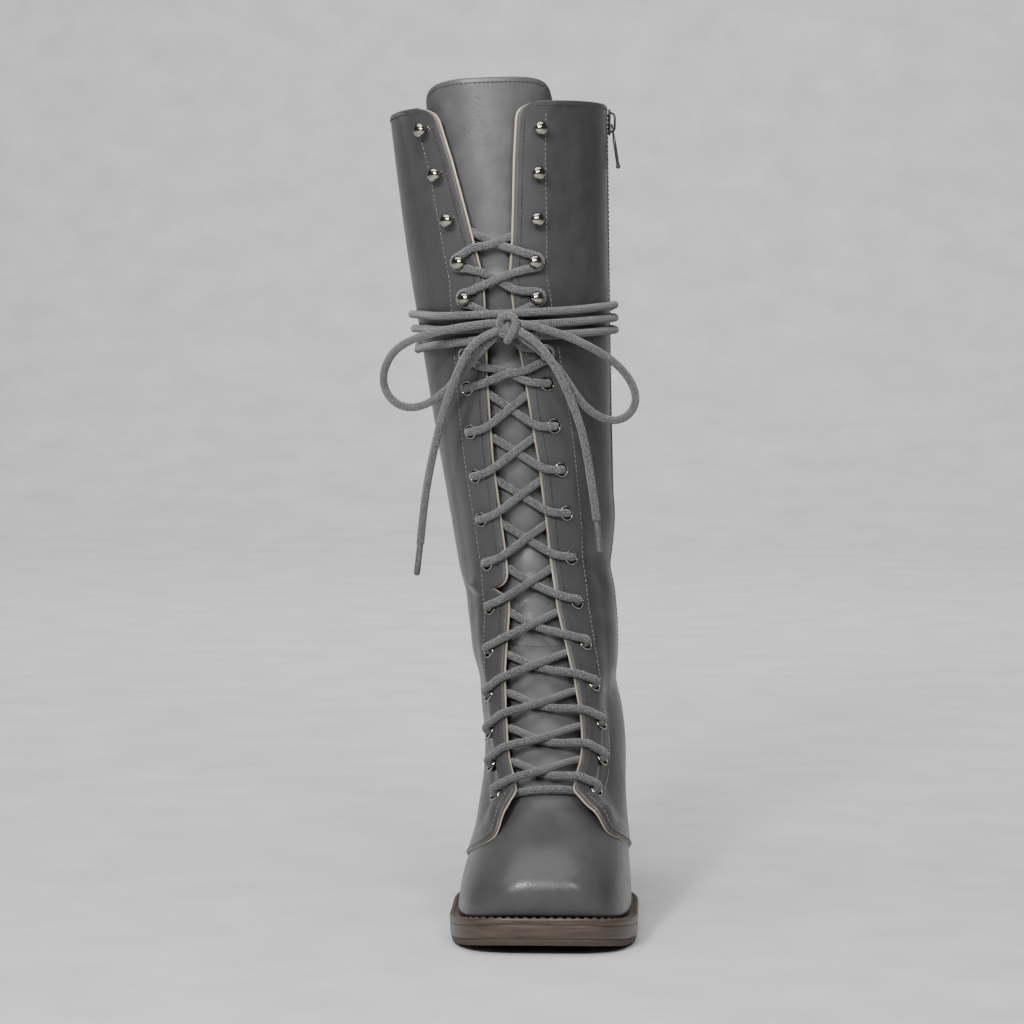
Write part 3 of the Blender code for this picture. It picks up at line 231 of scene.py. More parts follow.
# Free edge of the throat on one side: the angle at which the upper lies half the gap from the middle of the
# shin
def throatEdge(side):
    row = np.linspace(throat["firstRow"], throat["collarRow"] + 0.4, 240)
    gap = np.interp(section(row)["frontZ"], throat["gap"][:, 0], throat["gap"][:, 1])
    angles = np.linspace(0.0, 1.6, 161)
    x = surfaceAt(side * angles[None, :], row[:, None])[..., 0]
    reach = np.abs(x - x[:, :1])
    angle = side * np.array([np.interp(g, r, angles) for g, r in zip(gap, reach)])
    length = lengthOf(surfaceAt(angle, row))
    collar = np.interp(throat["collarRow"], row, length)
    return {"row": row, "angle": angle, "length": length, "collar": collar}


throatEdges = {side: throatEdge(side) for side in (-1, 1)}


# Angle and row of the free edge at a length from the derby corner, carried on straight below it
def edgeAt(side, along):
    e = throatEdges[side]
    near = 8
    past = np.minimum(along, 0.0) / e["length"][near]
    angle = np.interp(along, e["length"], e["angle"]) + past * (e["angle"][near] - e["angle"][0])
    row = np.interp(along, e["length"], e["row"]) + past * (e["row"][near] - e["row"][0])
    return angle, row


# Angle and row at a distance across from the free edge: short straight steps that stay on the surface
def place(side, along, across, steps=10):
    along, across = np.broadcast_arrays(np.asarray(along, float), np.asarray(across, float))
    shape = along.shape
    along, across = along.ravel(), across.ravel()
    angle, row = edgeAt(side, along)
    tangent = surfaceAt(*edgeAt(side, along + 2.0)) - surfaceAt(*edgeAt(side, along - 2.0))
    heading = side * unit(np.cross(tangent, normalAt(angle, row)))
    for _ in range(steps):
        byAngle, byRow = slopes(angle, row)
        normal = unit(np.cross(byAngle, byRow))
        level = heading - normal * np.sum(heading * normal, -1, keepdims=True)
        move = unit(level) * (across / steps)[:, None]
        aa, bb = np.sum(byAngle * byAngle, -1), np.sum(byRow * byRow, -1)
        ab = np.sum(byAngle * byRow, -1)
        ma, mb = np.sum(move * byAngle, -1), np.sum(move * byRow, -1)
        whole = aa * bb - ab * ab
        angle = angle + (ma * bb - mb * ab) / whole
        row = row + (mb * aa - ma * ab) / whole
    return angle.reshape(shape), row.reshape(shape)


# Length along the free edge where a line beside it reaches a height
def alongAtHeight(side, height, across=fittings["across"]):
    along = np.linspace(0.0, throatEdges[side]["collar"], 200)
    z = surfaceAt(*place(side, along, across))[:, 2]
    return float(np.interp(height, z, along))


# Eyelets along the free edge: from the first to the last by a power of their share, so the lowest lie
# further apart
def eyeletPlaces(side):
    first, final = fittings["first"][side], alongAtHeight(side, fittings["last"][side])
    return first + (final - first) * np.linspace(0.0, 1.0, fittings["eyelets"]) ** fittings["spread"]


eyeletAlong = {side: eyeletPlaces(side) for side in (-1, 1)}
hookAlong = {side: np.array([alongAtHeight(side, h, fittings["hookAcross"][side]) for h in fittings["hooks"]])
             for side in (-1, 1)}


# How far the tip of a facing stands off the vamp: full at the tip, eased away up the throat and across it
def tipLift(row, across):
    low, high = facing["liftRows"]
    across = np.clip(across, 0.0, None)
    side = np.clip(1.0 - (across / facing["width"]) ** 4, 0.0, 1.0)
    return facing["lift"] * (1.0 - smooth((row - low) / (high - low))) * side


# Level of the tongue against the upper: with the vamp at its root, then sunk below the laces
def tongueLevel(row):
    low, high = facing["liftRows"]
    sunk = smooth((row - low + 0.5) / (high - low))
    return -tongue["vampDrop"] - (tongue["drop"] - tongue["vampDrop"]) * sunk


# Outside of a quarter above the last: raised along the throat, where two leathers lie, and eased away across
# it
def quarterLevel(row, across):
    near, far = facing["fade"]
    raised = facing["rootLevel"] + (facing["level"] - facing["rootLevel"]) * smooth((row - 2.5) / 2.5)
    tip = tipLift(row, across) * smooth((row - 3.7) / 1.1)
    return raised * (1.0 - smooth((across - near) / (far - near))) + tip


print("last and throat worked out")


# Quads between the points of a grid, row by row
def gridFaces(rows, columns, wrap=False):
    i = np.arange(rows - 1)[:, None]
    j = np.arange(columns if wrap else columns - 1)[None, :]
    k = (j + 1) % columns
    corners = (i * columns + j, i * columns + k, (i + 1) * columns + k, (i + 1) * columns + j)
    return np.stack(corners, -1).reshape(-1, 4)


# One mesh object at the origin from points in the boot's own millimetres, with its doubles merged and its
# faces outwards
def addPiece(name, points, faces, finish, nodes=(), marks=None, uv=None, body="boot", slot=None):
    points = np.asarray(points, float).reshape(-1, 3)
    mesh = bpy.data.meshes.new(name)
    mesh.vertices.add(len(points))
    mesh.vertices.foreach_set("co", ((points - originMm) * mm).astype(np.float32).ravel())
    mesh.loops.add(faces.size)
    mesh.loops.foreach_set("vertex_index", faces.ravel().astype(np.int32))
    mesh.polygons.add(len(faces))
    mesh.polygons.foreach_set("loop_start", np.arange(0, faces.size, faces.shape[1], dtype=np.int32))
    for mark, values in (marks or {}).items():
        layer = mesh.attributes.new(mark, "FLOAT", "POINT")
        layer.data.foreach_set("value", np.asarray(values, np.float32).ravel())
    if uv is not None:
        mesh.uv_layers.new(name="cord").data.foreach_set("uv", uv.astype(np.float32).ravel())
    mesh.update(calc_edges=True)
    shape = bmesh.new()
    shape.from_mesh(mesh)
    bmesh.ops.remove_doubles(shape, verts=shape.verts, dist=2e-6)
    bmesh.ops.dissolve_degenerate(shape, edges=shape.edges, dist=1e-7)
    bmesh.ops.recalc_face_normals(shape, faces=shape.faces)
    shape.to_mesh(mesh)
    shape.free()
    mesh.shade_smooth()
    mesh.materials.append(finish)
    made = bpy.data.objects.new(name, mesh)
    bpy.context.scene.collection.objects.link(made)
    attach(made, body)
    if nodes:
        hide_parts(*nodes)
    return made


# Several grids as one set of points and faces
def joined(parts):
    starts = np.cumsum([0] + [len(points) for points, _ in parts[:-1]])
    points = np.concatenate([points for points, _ in parts])
    faces = np.concatenate([faces + start for (_, faces), start in zip(parts, starts)])
    return points, faces


# Frames carried along a line: each normal is the last one turned as little as the line turns
def carriedFrames(points, start=None):
    tangent = unit(np.gradient(points, axis=0))
    normal = np.array((0.31, -0.55, 0.77)) if start is None else np.asarray(start, float)
    normals = np.empty_like(points)
    for k, t in enumerate(tangent):
        normal = normal - t * np.dot(normal, t)
        normal = normal / np.linalg.norm(normal)
        normals[k] = normal
    return tangent, normals, np.cross(tangent, normals)


# Round tube: a circle carried along a line, with ends drawn in to a point; also gives round and along as its
# UV
def tube(points, radius, sides=12, close=True):
    points = np.asarray(points, float)
    tangent, normal, side = carriedFrames(points)
    radius = np.broadcast_to(np.asarray(radius, float), (len(points),)).copy()
    if close:
        first, final = points[0], points[-1]
        points = np.concatenate((first[None], points, final[None]))
        radius = np.concatenate(((1e-4,), radius, (1e-4,)))
        tangent, normal, side = (np.concatenate((a[:1], a, a[-1:])) for a in (tangent, normal, side))
    turn = np.linspace(0.0, 2.0 * math.pi, sides, endpoint=False)
    ring = np.cos(turn)[None, :, None] * normal[:, None] + np.sin(turn)[None, :, None] * side[:, None]
    grid = points[:, None] + radius[:, None, None] * ring
    rows = len(points)
    along = lengthOf(points)
    i, j = (a.ravel() for a in np.meshgrid(np.arange(rows - 1), np.arange(sides), indexing="ij"))
    u = np.stack((j, j + 1, j + 1, j), -1) / sides
    v = np.stack((along[i], along[i], along[i + 1], along[i + 1]), -1)
    return grid.reshape(-1, 3), gridFaces(rows, sides, wrap=True), np.stack((u, v), -1)


# Even points on a smooth curve through a route
def routeCurve(points, step):
    table = np.asarray(points, float)
    fine = splineAt(table, splineBends(table), np.linspace(0.0, len(table) - 1.0, 60 * len(table)))
    length = lengthOf(fine)
    at = np.linspace(0.0, length[-1], max(int(length[-1] / step), 2) + 1)
    return np.stack([np.interp(at, length, fine[:, k]) for k in range(3)], -1)


# Even points on a curve through many close points: each pass cuts every corner at a quarter of its sides
def roundedLine(points, step, passes=3):
    line = np.asarray(points, float)
    for _ in range(passes):
        a, b = line[:-1], line[1:]
        cut = np.stack((0.75 * a + 0.25 * b, 0.25 * a + 0.75 * b), 1).reshape(-1, 3)
        line = np.concatenate((line[:1], cut, line[-1:]))
    length = lengthOf(line)
    at = np.linspace(0.0, length[-1], int(length[-1] / step) + 1)
    return np.stack([np.interp(at, length, line[:, k]) for k in range(3)], -1)


# A screen colour turned to linear light: ((c + 0.055) / 1.055) ^ 2.4 above the straight foot of the curve
def linear(hexColour):
    parts = [int(hexColour[k:k + 2], 16) / 255.0 for k in (1, 3, 5)]
    return tuple(c / 12.92 if c <= 0.04045 else ((c + 0.055) / 1.055) ** 2.4 for c in parts) + (1.0,)


# Adds a node: settings go to its attributes, and each input is a value or the socket that feeds it
def addNode(tree, kind, inputs=None, **settings):
    made = tree.nodes.new(kind)
    for name, value in settings.items():
        setattr(made, name, value)
    for key, value in (inputs or {}).items():
        if isinstance(value, bpy.types.NodeSocket):
            tree.links.new(value, made.inputs[key])
        else:
            made.inputs[key].default_value = value
    return made


# A new material with its shader's steady values set on the shader's own sockets
def startMaterial(name, steady):
    made = bpy.data.materials.new(name)
    made.use_nodes = True
    shader = made.node_tree.nodes["Principled BSDF"]
    for key, value in steady.items():
        shader.inputs[key].default_value = value
    return made, made.node_tree, shader


# Pattern frequency of a feature of a size in millimetres, for Object coordinates in metres
def perMetre(sizeMm):
    return 1000.0 / sizeMm


# Aniline-dyed calf, smooth and waxed: an even grey with a soft sheen and fine pores, cream where it is cut
def calfLeather(settings):
    made, tree, shader = startMaterial(settings["name"], {"IOR": 1.48, "Specular IOR Level": 0.34})
    coord = addNode(tree, "ShaderNodeTexCoord").outputs["Object"]
    cloud = addNode(tree, "ShaderNodeTexNoise", {"Vector": coord, "Scale": perMetre(settings["cloudMm"]),
                                                 "Detail": 4.0, "Roughness": 0.55})
    mottle = addNode(tree, "ShaderNodeTexNoise", {"Vector": coord, "Scale": perMetre(settings["mottleMm"]),
                                                  "Detail": 3.0, "Roughness": 0.6})
    blend = addNode(tree, "ShaderNodeMath", {0: cloud.outputs["Fac"], 1: mottle.outputs["Fac"]},
                    operation="ADD")
    tone = addNode(tree, "ShaderNodeMapRange", {"Value": blend.outputs[0], "From Min": 0.75,
                                                "From Max": 1.25})
    skinTone = addNode(tree, "ShaderNodeMix", {0: tone.outputs[0], 6: linear(settings["dark"]),
                                               7: linear(settings["light"])}, data_type="RGBA")
    # Painted light and shade: the facing mark mixes in the look's facing colour, a lighter painted tone on
    # the quarters' facing bands and a darker painted shade on the vamp
    band = addNode(tree, "ShaderNodeAttribute", attribute_name="facing").outputs["Fac"]
    shade = addNode(tree, "ShaderNodeMath", {0: band, 1: settings["paintedLightShare"]}, operation="MULTIPLY")
    paintedLightTone = addNode(tree, "ShaderNodeMix", {0: shade.outputs[0], 6: skinTone.outputs[2],
                                             7: linear(settings["facing"])}, data_type="RGBA")
    layer = addNode(tree, "ShaderNodeAttribute", attribute_name="layer").outputs["Fac"]
    inside = addNode(tree, "ShaderNodeMapRange", {"Value": layer, "From Min": 0.25, "From Max": -0.35})
    lined = addNode(tree, "ShaderNodeMix", {0: inside.outputs[0], 6: paintedLightTone.outputs[2],
                                            7: linear(settings["lining"])}, data_type="RGBA")
    edge = addNode(tree, "ShaderNodeAttribute", attribute_name="edge").outputs["Fac"]
    raw = addNode(tree, "ShaderNodeMapRange", {"Value": edge, "From Min": 0.15, "From Max": 0.6})
    height = addNode(tree, "ShaderNodeSeparateXYZ", {0: coord}).outputs["Z"]
    low, high = settings["rawHeights"]
    upper = addNode(tree, "ShaderNodeMapRange", {"Value": height, "From Min": low, "From Max": high})
    rawTone = addNode(tree, "ShaderNodeMix", {0: upper.outputs[0], 6: linear(settings["rawLow"]),
                                              7: linear(settings["raw"])}, data_type="RGBA")
    pale = addNode(tree, "ShaderNodeMix", {0: raw.outputs[0], 6: lined.outputs[2], 7: rawTone.outputs[2]},
                   data_type="RGBA")
    # Painted shade: a mark of -1 turns the cut edge near black with the groove colour, shade painted in the
    # gap between lining and leather
    deep = addNode(tree, "ShaderNodeMapRange", {"Value": edge, "From Min": -0.15, "From Max": -0.6})
    cut = addNode(tree, "ShaderNodeMix", {0: deep.outputs[0], 6: pale.outputs[2],
                                          7: linear(settings["groove"])}, data_type="RGBA")
    tree.links.new(cut.outputs[2], shader.inputs["Base Color"])
    low, high = settings["rough"]
    rough = addNode(tree, "ShaderNodeMapRange", {"Value": mottle.outputs["Fac"], "From Min": 0.3,
                                                 "From Max": 0.7, "To Min": low, "To Max": high})
    tree.links.new(rough.outputs[0], shader.inputs["Roughness"])
    grain = addNode(tree, "ShaderNodeTexVoronoi", {"Vector": coord, "Scale": perMetre(settings["poreMm"])},
                    feature="SMOOTH_F1")
    soft = addNode(tree, "ShaderNodeTexNoise", {"Vector": coord, "Scale": perMetre(settings["napMm"]),
                                                "Detail": 5.0})
    relief = addNode(tree, "ShaderNodeMath", {0: soft.outputs["Fac"], 1: 0.6, 2: grain.outputs["Distance"]},
                     operation="MULTIPLY_ADD")
    bump = addNode(tree, "ShaderNodeBump", {"Height": relief.outputs[0], "Strength": settings["bump"],
                                            "Distance": 0.12 * mm})
    tree.links.new(bump.outputs[0], shader.inputs["Normal"])
    return made


# Pores of a calf skin are 0.2 to 0.3 mm: they are drawn at 1.1 mm, the finest that shows from the camera
# The facing colour is painted light: a little lighter than the calf, laid on the quarters' facing bands
leatherLook = {"name": "calfLeather", "dark": "#353536", "light": "#3f3f40", "facing": "#3f3e3f",
               "paintedLightShare": 0.6, "lining": "#6a6258", "raw": "#a3987f", "rawLow": "#857d70",
               "rawHeights": (0.30, 0.35), "groove": "#161412", "cloudMm": 60.0, "mottleMm": 9.0,
               "poreMm": 1.1, "napMm": 2.6, "rough": (0.3, 0.4), "bump": 0.6}
# Softer calf of the tongue: painted lighter than the vamp below it as a painted highlight, while the vamp
# takes the facing colour as painted shade
tonguePaintedLightLook = {**leatherLook, "name": "tongueCalfPaintedLight", "dark": "#464647", "light": "#525253", "facing": "#2e2e2f",
              "paintedLightShare": 0.5, "lining": "#5b554d", "raw": "#6d675e", "rawLow": "#5c5a57",
              "rough": (0.3, 0.38)}


# Braided polyester cord: matt yarns of two greys twisted together, crossing in a fine diamond
def braidedCord(settings):
    made, tree, shader = startMaterial(settings["name"], {"Roughness": 0.86, "IOR": 1.5, "Sheen Weight": 0.25,
                                                          "Sheen Roughness": 0.6})
    uv = addNode(tree, "ShaderNodeUVMap", uv_map="cord").outputs["UV"]
    split = addNode(tree, "ShaderNodeSeparateXYZ", {0: uv})
    around = addNode(tree, "ShaderNodeMath", {0: split.outputs[0], 1: settings["strands"]},
                     operation="MULTIPLY")
    along = addNode(tree, "ShaderNodeMath", {0: split.outputs[1], 1: settings["pitchMm"]}, operation="DIVIDE")
    waves = []
    for sign in ("ADD", "SUBTRACT"):
        slant = addNode(tree, "ShaderNodeMath", {0: along.outputs[0], 1: around.outputs[0]}, operation=sign)
        full = addNode(tree, "ShaderNodeMath", {0: slant.outputs[0], 1: 2.0 * math.pi}, operation="MULTIPLY")
        waves.append(addNode(tree, "ShaderNodeMath", {0: full.outputs[0]}, operation="SINE").outputs[0])
    cross = addNode(tree, "ShaderNodeMath", {0: waves[0], 1: waves[1]}, operation="MULTIPLY").outputs[0]
    coord = addNode(tree, "ShaderNodeTexCoord").outputs["Object"]
    speck = addNode(tree, "ShaderNodeTexNoise", {"Vector": coord, "Scale": perMetre(settings["speckMm"]),
                                                 "Detail": 2.0, "Roughness": 0.8})
    tone = addNode(tree, "ShaderNodeMath", {0: cross, 1: 0.07, 2: speck.outputs["Fac"]},
                   operation="MULTIPLY_ADD")
    share = addNode(tree, "ShaderNodeMapRange", {"Value": tone.outputs[0], "From Min": 0.34,
                                                 "From Max": 0.66})
    colour = addNode(tree, "ShaderNodeMix", {0: share.outputs[0], 6: linear(settings["dark"]),
                                             7: linear(settings["light"])}, data_type="RGBA")
    tree.links.new(colour.outputs[2], shader.inputs["Base Color"])
    height = addNode(tree, "ShaderNodeMath", {0: speck.outputs["Fac"], 1: 0.8, 2: cross},
                     operation="MULTIPLY_ADD")
    bump = addNode(tree, "ShaderNodeBump", {"Height": height.outputs[0], "Strength": 0.75,
                                            "Distance": 0.3 * mm})
    tree.links.new(bump.outputs[0], shader.inputs["Normal"])
    return made


# Yarns of the braid are about 0.5 mm: their crossings are drawn 2.6 mm apart and their specks 0.75 mm wide,
# so that they show
cordLook = {"name": "braidedCord", "dark": "#262628", "light": "#585859", "strands": 5.0, "pitchMm": 2.6,
            "speckMm": 0.75}


# A plain finish of two tones and a bump, both from noise: for thread, edges, rubber, insole and floor
def mottledFinish(settings):
    made, tree, shader = startMaterial(settings["name"], settings["steady"])
    coord = addNode(tree, "ShaderNodeTexCoord").outputs["Object"]
    size = settings.get("stretch", (1.0, 1.0, 1.0))
    stretch = addNode(tree, "ShaderNodeMapping", {"Vector": coord, "Scale": size})
    noise = addNode(tree, "ShaderNodeTexNoise", {"Vector": stretch.outputs[0], "Detail": 5.0,
                                                 "Roughness": 0.6, "Scale": perMetre(settings["grainMm"])})
    share = addNode(tree, "ShaderNodeMapRange", {"Value": noise.outputs["Fac"], "From Min": 0.3,
                                                 "From Max": 0.7})
    colour = addNode(tree, "ShaderNodeMix", {0: share.outputs[0], 6: linear(settings["dark"]),
                                             7: linear(settings["light"])}, data_type="RGBA")
    tree.links.new(colour.outputs[2], shader.inputs["Base Color"])
    low, high = settings["rough"]
    rough = addNode(tree, "ShaderNodeMapRange", {"Value": noise.outputs["Fac"], "From Min": 0.3,
                                                 "From Max": 0.7, "To Min": low, "To Max": high})
    tree.links.new(rough.outputs[0], shader.inputs["Roughness"])
    bump = addNode(tree, "ShaderNodeBump", {"Height": noise.outputs["Fac"], "Strength": settings["bump"],
                                            "Distance": 0.1 * mm})
    tree.links.new(bump.outputs[0], shader.inputs["Normal"])
    return made


# Waxed linen thread: matt twisted yarn, a little lighter than the leather, and dark along free edges
threadLook = {"name": "waxedThread", "dark": "#4d4d4e", "light": "#6b6b6b", "grainMm": 0.5,
              "rough": (0.6, 0.75), "bump": 0.3, "steady": {"IOR": 1.5}}
darkThreadLook = {**threadLook, "name": "waxedDarkThread", "dark": "#1a1a1b", "light": "#333334"}
weltThreadLook = {**threadLook, "name": "waxedWeltThread", "dark": "#3b3029", "light": "#5b4a3e"}
# Oak-bark sole leather, its edge inked and burnished: dark brown with a low shine and lines along its layers
edgeLook = {"name": "burnishedSoleEdge", "dark": "#2b221b", "light": "#4c4035", "grainMm": 5.0,
            "rough": (0.36, 0.52), "stretch": (0.35, 0.35, 4.0), "bump": 0.25,
            "steady": {"IOR": 1.5, "Coat Weight": 0.06, "Coat Roughness": 0.3}}
# Welt leather, dyed dark and sewn: rough top, nearly black
weltLook = {"name": "dyedWelt", "dark": "#141211", "light": "#3b332c", "grainMm": 1.6,
            "rough": (0.55, 0.72), "bump": 0.6, "steady": {"IOR": 1.5}}
# Vulcanised rubber sheet: dull, nearly black brown
treadLook = {"name": "vulcanisedRubber", "dark": "#30271f", "light": "#4a3d33", "grainMm": 1.6,
             "rough": (0.62, 0.8), "bump": 0.5, "steady": {"IOR": 1.52}}
# Vegetable-tanned insole: pale, dry leather
insoleLook = {"name": "vegetableTannedInsole", "dark": "#8d7a63", "light": "#a8947a", "grainMm": 6.0,
              "rough": (0.6, 0.78), "bump": 0.4, "steady": {"IOR": 1.48}}
# Polished nickel plate: a bright mirror with a faint warm cast
nickelLook = {"name": "polishedNickel", "dark": "#8e8a80", "light": "#aaa79d", "grainMm": 8.0,
              "rough": (0.09, 0.15), "bump": 0.02, "steady": {"Metallic": 1.0}}
# Blackened zinc of the zip: dark metal with a satin shine
zincLook = {"name": "blackenedZinc", "dark": "#2a2a2c", "light": "#4c4c4e", "grainMm": 3.0,
            "rough": (0.3, 0.42), "bump": 0.05, "steady": {"Metallic": 0.85}}
# Woven polyester tape of the zip: dark, matt
tapeLook = {"name": "wovenZipTape", "dark": "#222224", "light": "#3a3a3c", "grainMm": 0.9,
            "rough": (0.75, 0.9), "bump": 0.8, "steady": {"IOR": 1.5}}
# Clear-coated acetate over the cord's end: smooth grey tip
agletLook = {"name": "acetateTip", "dark": "#3a3a3c", "light": "#555557", "grainMm": 2.0,
             "rough": (0.3, 0.4), "bump": 0.1, "steady": {"IOR": 1.47}}

leather = calfLeather(leatherLook)
tongueLeatherPaintedLight = calfLeather(tonguePaintedLightLook)
cordFinish = braidedCord(cordLook)
thread, darkThread, weltThread, soleEdge, weltFinish, rubber, insoleFinish, nickel, zinc, zipTape, acetate = (
    mottledFinish(look) for look in (threadLook, darkThreadLook, weltThreadLook, edgeLook, weltLook,
                                     treadLook, insoleLook, nickelLook, zincLook, tapeLook, agletLook))
print("materials made")

# Lace: a cord of this diameter through every eyelet and round the lower hooks
lace = {"diameter": 4.2, "clear": 2.4, "under": 2.8, "crossRise": 0.5, "diveRise": 0.88, "exitRise": 4.4,
        "overRise": 8.2, "tongueClear": 3.7, "barArch": 3.0, "hookOver": 10.0, "hookUnder": 5.4,
        "hookReach": 3.95, "seat": 0.5, "stem": (0.7, 5.2), "tuckHeight": 349.0, "tuckDepth": 7.0,
        "step": 1.5, "sides": 14}


# Place on the outside of a facing at an eyelet or hook, with its directions up, across and out: the middle
# and the diagonals of a small square there
def frameOnFacing(side, along, beside=fittings["across"]):
    half = fittings["hole"] * np.array(((-1.0, -1.0), (-1.0, 1.0), (1.0, 1.0), (1.0, -1.0)))
    across = beside + half[:, 1]
    angles, rows = place(side, along + half[:, 0], across)
    corners = skin(angles, rows, facing["level"] + tipLift(rows, across))
    up = unit(corners[2] + corners[3] - corners[0] - corners[1])
    out = unit(np.cross(corners[2] - corners[0], corners[3] - corners[1])) * side
    return corners.mean(0), up, side * np.cross(up, out), out


# Point above (or, with a negative level, below the underside of) a facing
def onFacing(side, along, across, level):
    angle, row = place(side, np.array((along,)), np.array((across,)))
    base = facing["level"] if level > 0.0 else facing["level"] - facing["thick"]
    return skin(angle, row, base + tipLift(row, across) + level)[0]


# The lace behind an eyelet and in front of it: off the facing along its outward direction
def inEyelet(side, along):
    at, _, _, out = frameOnFacing(side, along)
    return at - out * (facing["thick"] + lace["under"]), at + out * lace["exitRise"]


# Point above the middle of the tongue, at the mean row of a length on each side
def overTongue(alongs, level):
    row = np.array((sum(float(edgeAt(side, along)[1]) for side, along in alongs.items()) / 2.0,))
    return skin(np.zeros(1), row, tongueLevel(row) + level)[0]


# Bar of the lace: out of an eyelet, over the tongue, under the other facing and up into its eyelet
def barToEyelet(side, start, end, crossing):
    dive = end - (1.0 - lace["diveRise"]) * (end - start)
    return [
        inEyelet(side, start)[1],
        onFacing(side, start + 1.0, 3.2, lace["clear"] + 0.5),
        onFacing(side, start + 2.6, -1.2, lace["clear"]),
        overTongue(crossing, lace["overRise"] if side < 0 else lace["tongueClear"]),
        onFacing(-side, dive - 1.5, -1.4, 0.4 - lace["clear"]),
        onFacing(-side, dive, 2.4, -lace["under"]),
        inEyelet(-side, end)[0],
    ]


# Lace round the outer side of a hook's stem
def roundHook(side, along):
    turn = ((-1.0, -1.0), (0.75, -0.74), (1.0, 0.0), (0.75, 0.74), (-1.0, 1.0))
    at, up, across, out = frameOnFacing(side, along, fittings["hookAcross"][side])
    middle = at + out * ((lace["seat"] + sum(lace["stem"])) / 2.0 + 0.3)
    return [middle + lace["hookReach"] * (rise * up + reach * across) for reach, rise in turn]


# One half of the lace, from the lowest eyelet on a side to its hidden end behind a facing
def halfLace(side):
    points = [inEyelet(side, eyeletAlong[side][0])[0]]
    for k in range(fittings["eyelets"] - 1):
        crossing = {s: eyeletAlong[s][k] + lace["crossRise"] * (eyeletAlong[s][k + 1] - eyeletAlong[s][k])
                    for s in (-1, 1)}
        points += barToEyelet(side, eyeletAlong[side][k], eyeletAlong[-side][k + 1], crossing)
        side = -side
    points += [inEyelet(side, eyeletAlong[side][-1])[1]]
    start = eyeletAlong[side][-1]
    for k in range(fittings["laced"]):
        end = hookAlong[-side][k]
        middle = start + 0.5 * (end - start)
        leave = start + (2.0 if k == 0 else lace["hookReach"] + 1.0)
        reach = end - lace["hookReach"]
        points += [
            onFacing(side, leave, 2.0, lace["clear"] + 0.6),
            onFacing(side, leave + 1.0, -1.2, lace["clear"] + 0.1),
            overTongue({side: middle, -side: middle}, lace["hookOver"] if side < 0 else lace["hookUnder"]),
            onFacing(-side, reach - 2.5, -1.2, lace["clear"] + 0.1),
            onFacing(-side, reach - 1.5, 2.0, lace["clear"] + 0.6),
        ]
        points += roundHook(-side, end)
        side, start = -side, end
    tuck = alongAtHeight(-side, lace["tuckHeight"])
    rise = start + 0.55 * (tuck - start)
    leave = start + lace["hookReach"] + 1.0
    return points + [
        onFacing(side, leave, 2.0, lace["clear"] + 0.6),
        onFacing(side, leave + 1.0, -1.2, lace["clear"] + 0.1),
        overTongue({side: rise, -side: rise}, lace["overRise"] if side < 0 else lace["tongueClear"]),
        onFacing(-side, tuck - 1.5, -1.4, 0.4 - lace["clear"]),
        onFacing(-side, tuck, 2.4, -lace["under"]),
        onFacing(-side, tuck + 1.0, lace["tuckDepth"], -lace["under"]),
    ]


# The whole lace: two halves joined by an arched bar between the lowest eyelets
def addLace():
    lowest = {s: eyeletAlong[s][0] for s in (-1, 1)}
    arch = {s: lowest[s] + lace["barArch"] for s in (-1, 1)}
    bar = [onFacing(-1, lowest[-1], 2.0, -lace["under"]), overTongue(arch, lace["tongueClear"]),
           onFacing(1, lowest[1], 2.0, -lace["under"])]
    line = roundedLine(halfLace(-1)[::-1] + bar + halfLace(1), lace["step"])
    points, faces, uv = tube(line, lace["diameter"] / 2.0, lace["sides"])
    addPiece("lace_through_eyelets", points, faces, cordFinish, ["lace"], uv=uv, slot="cord")


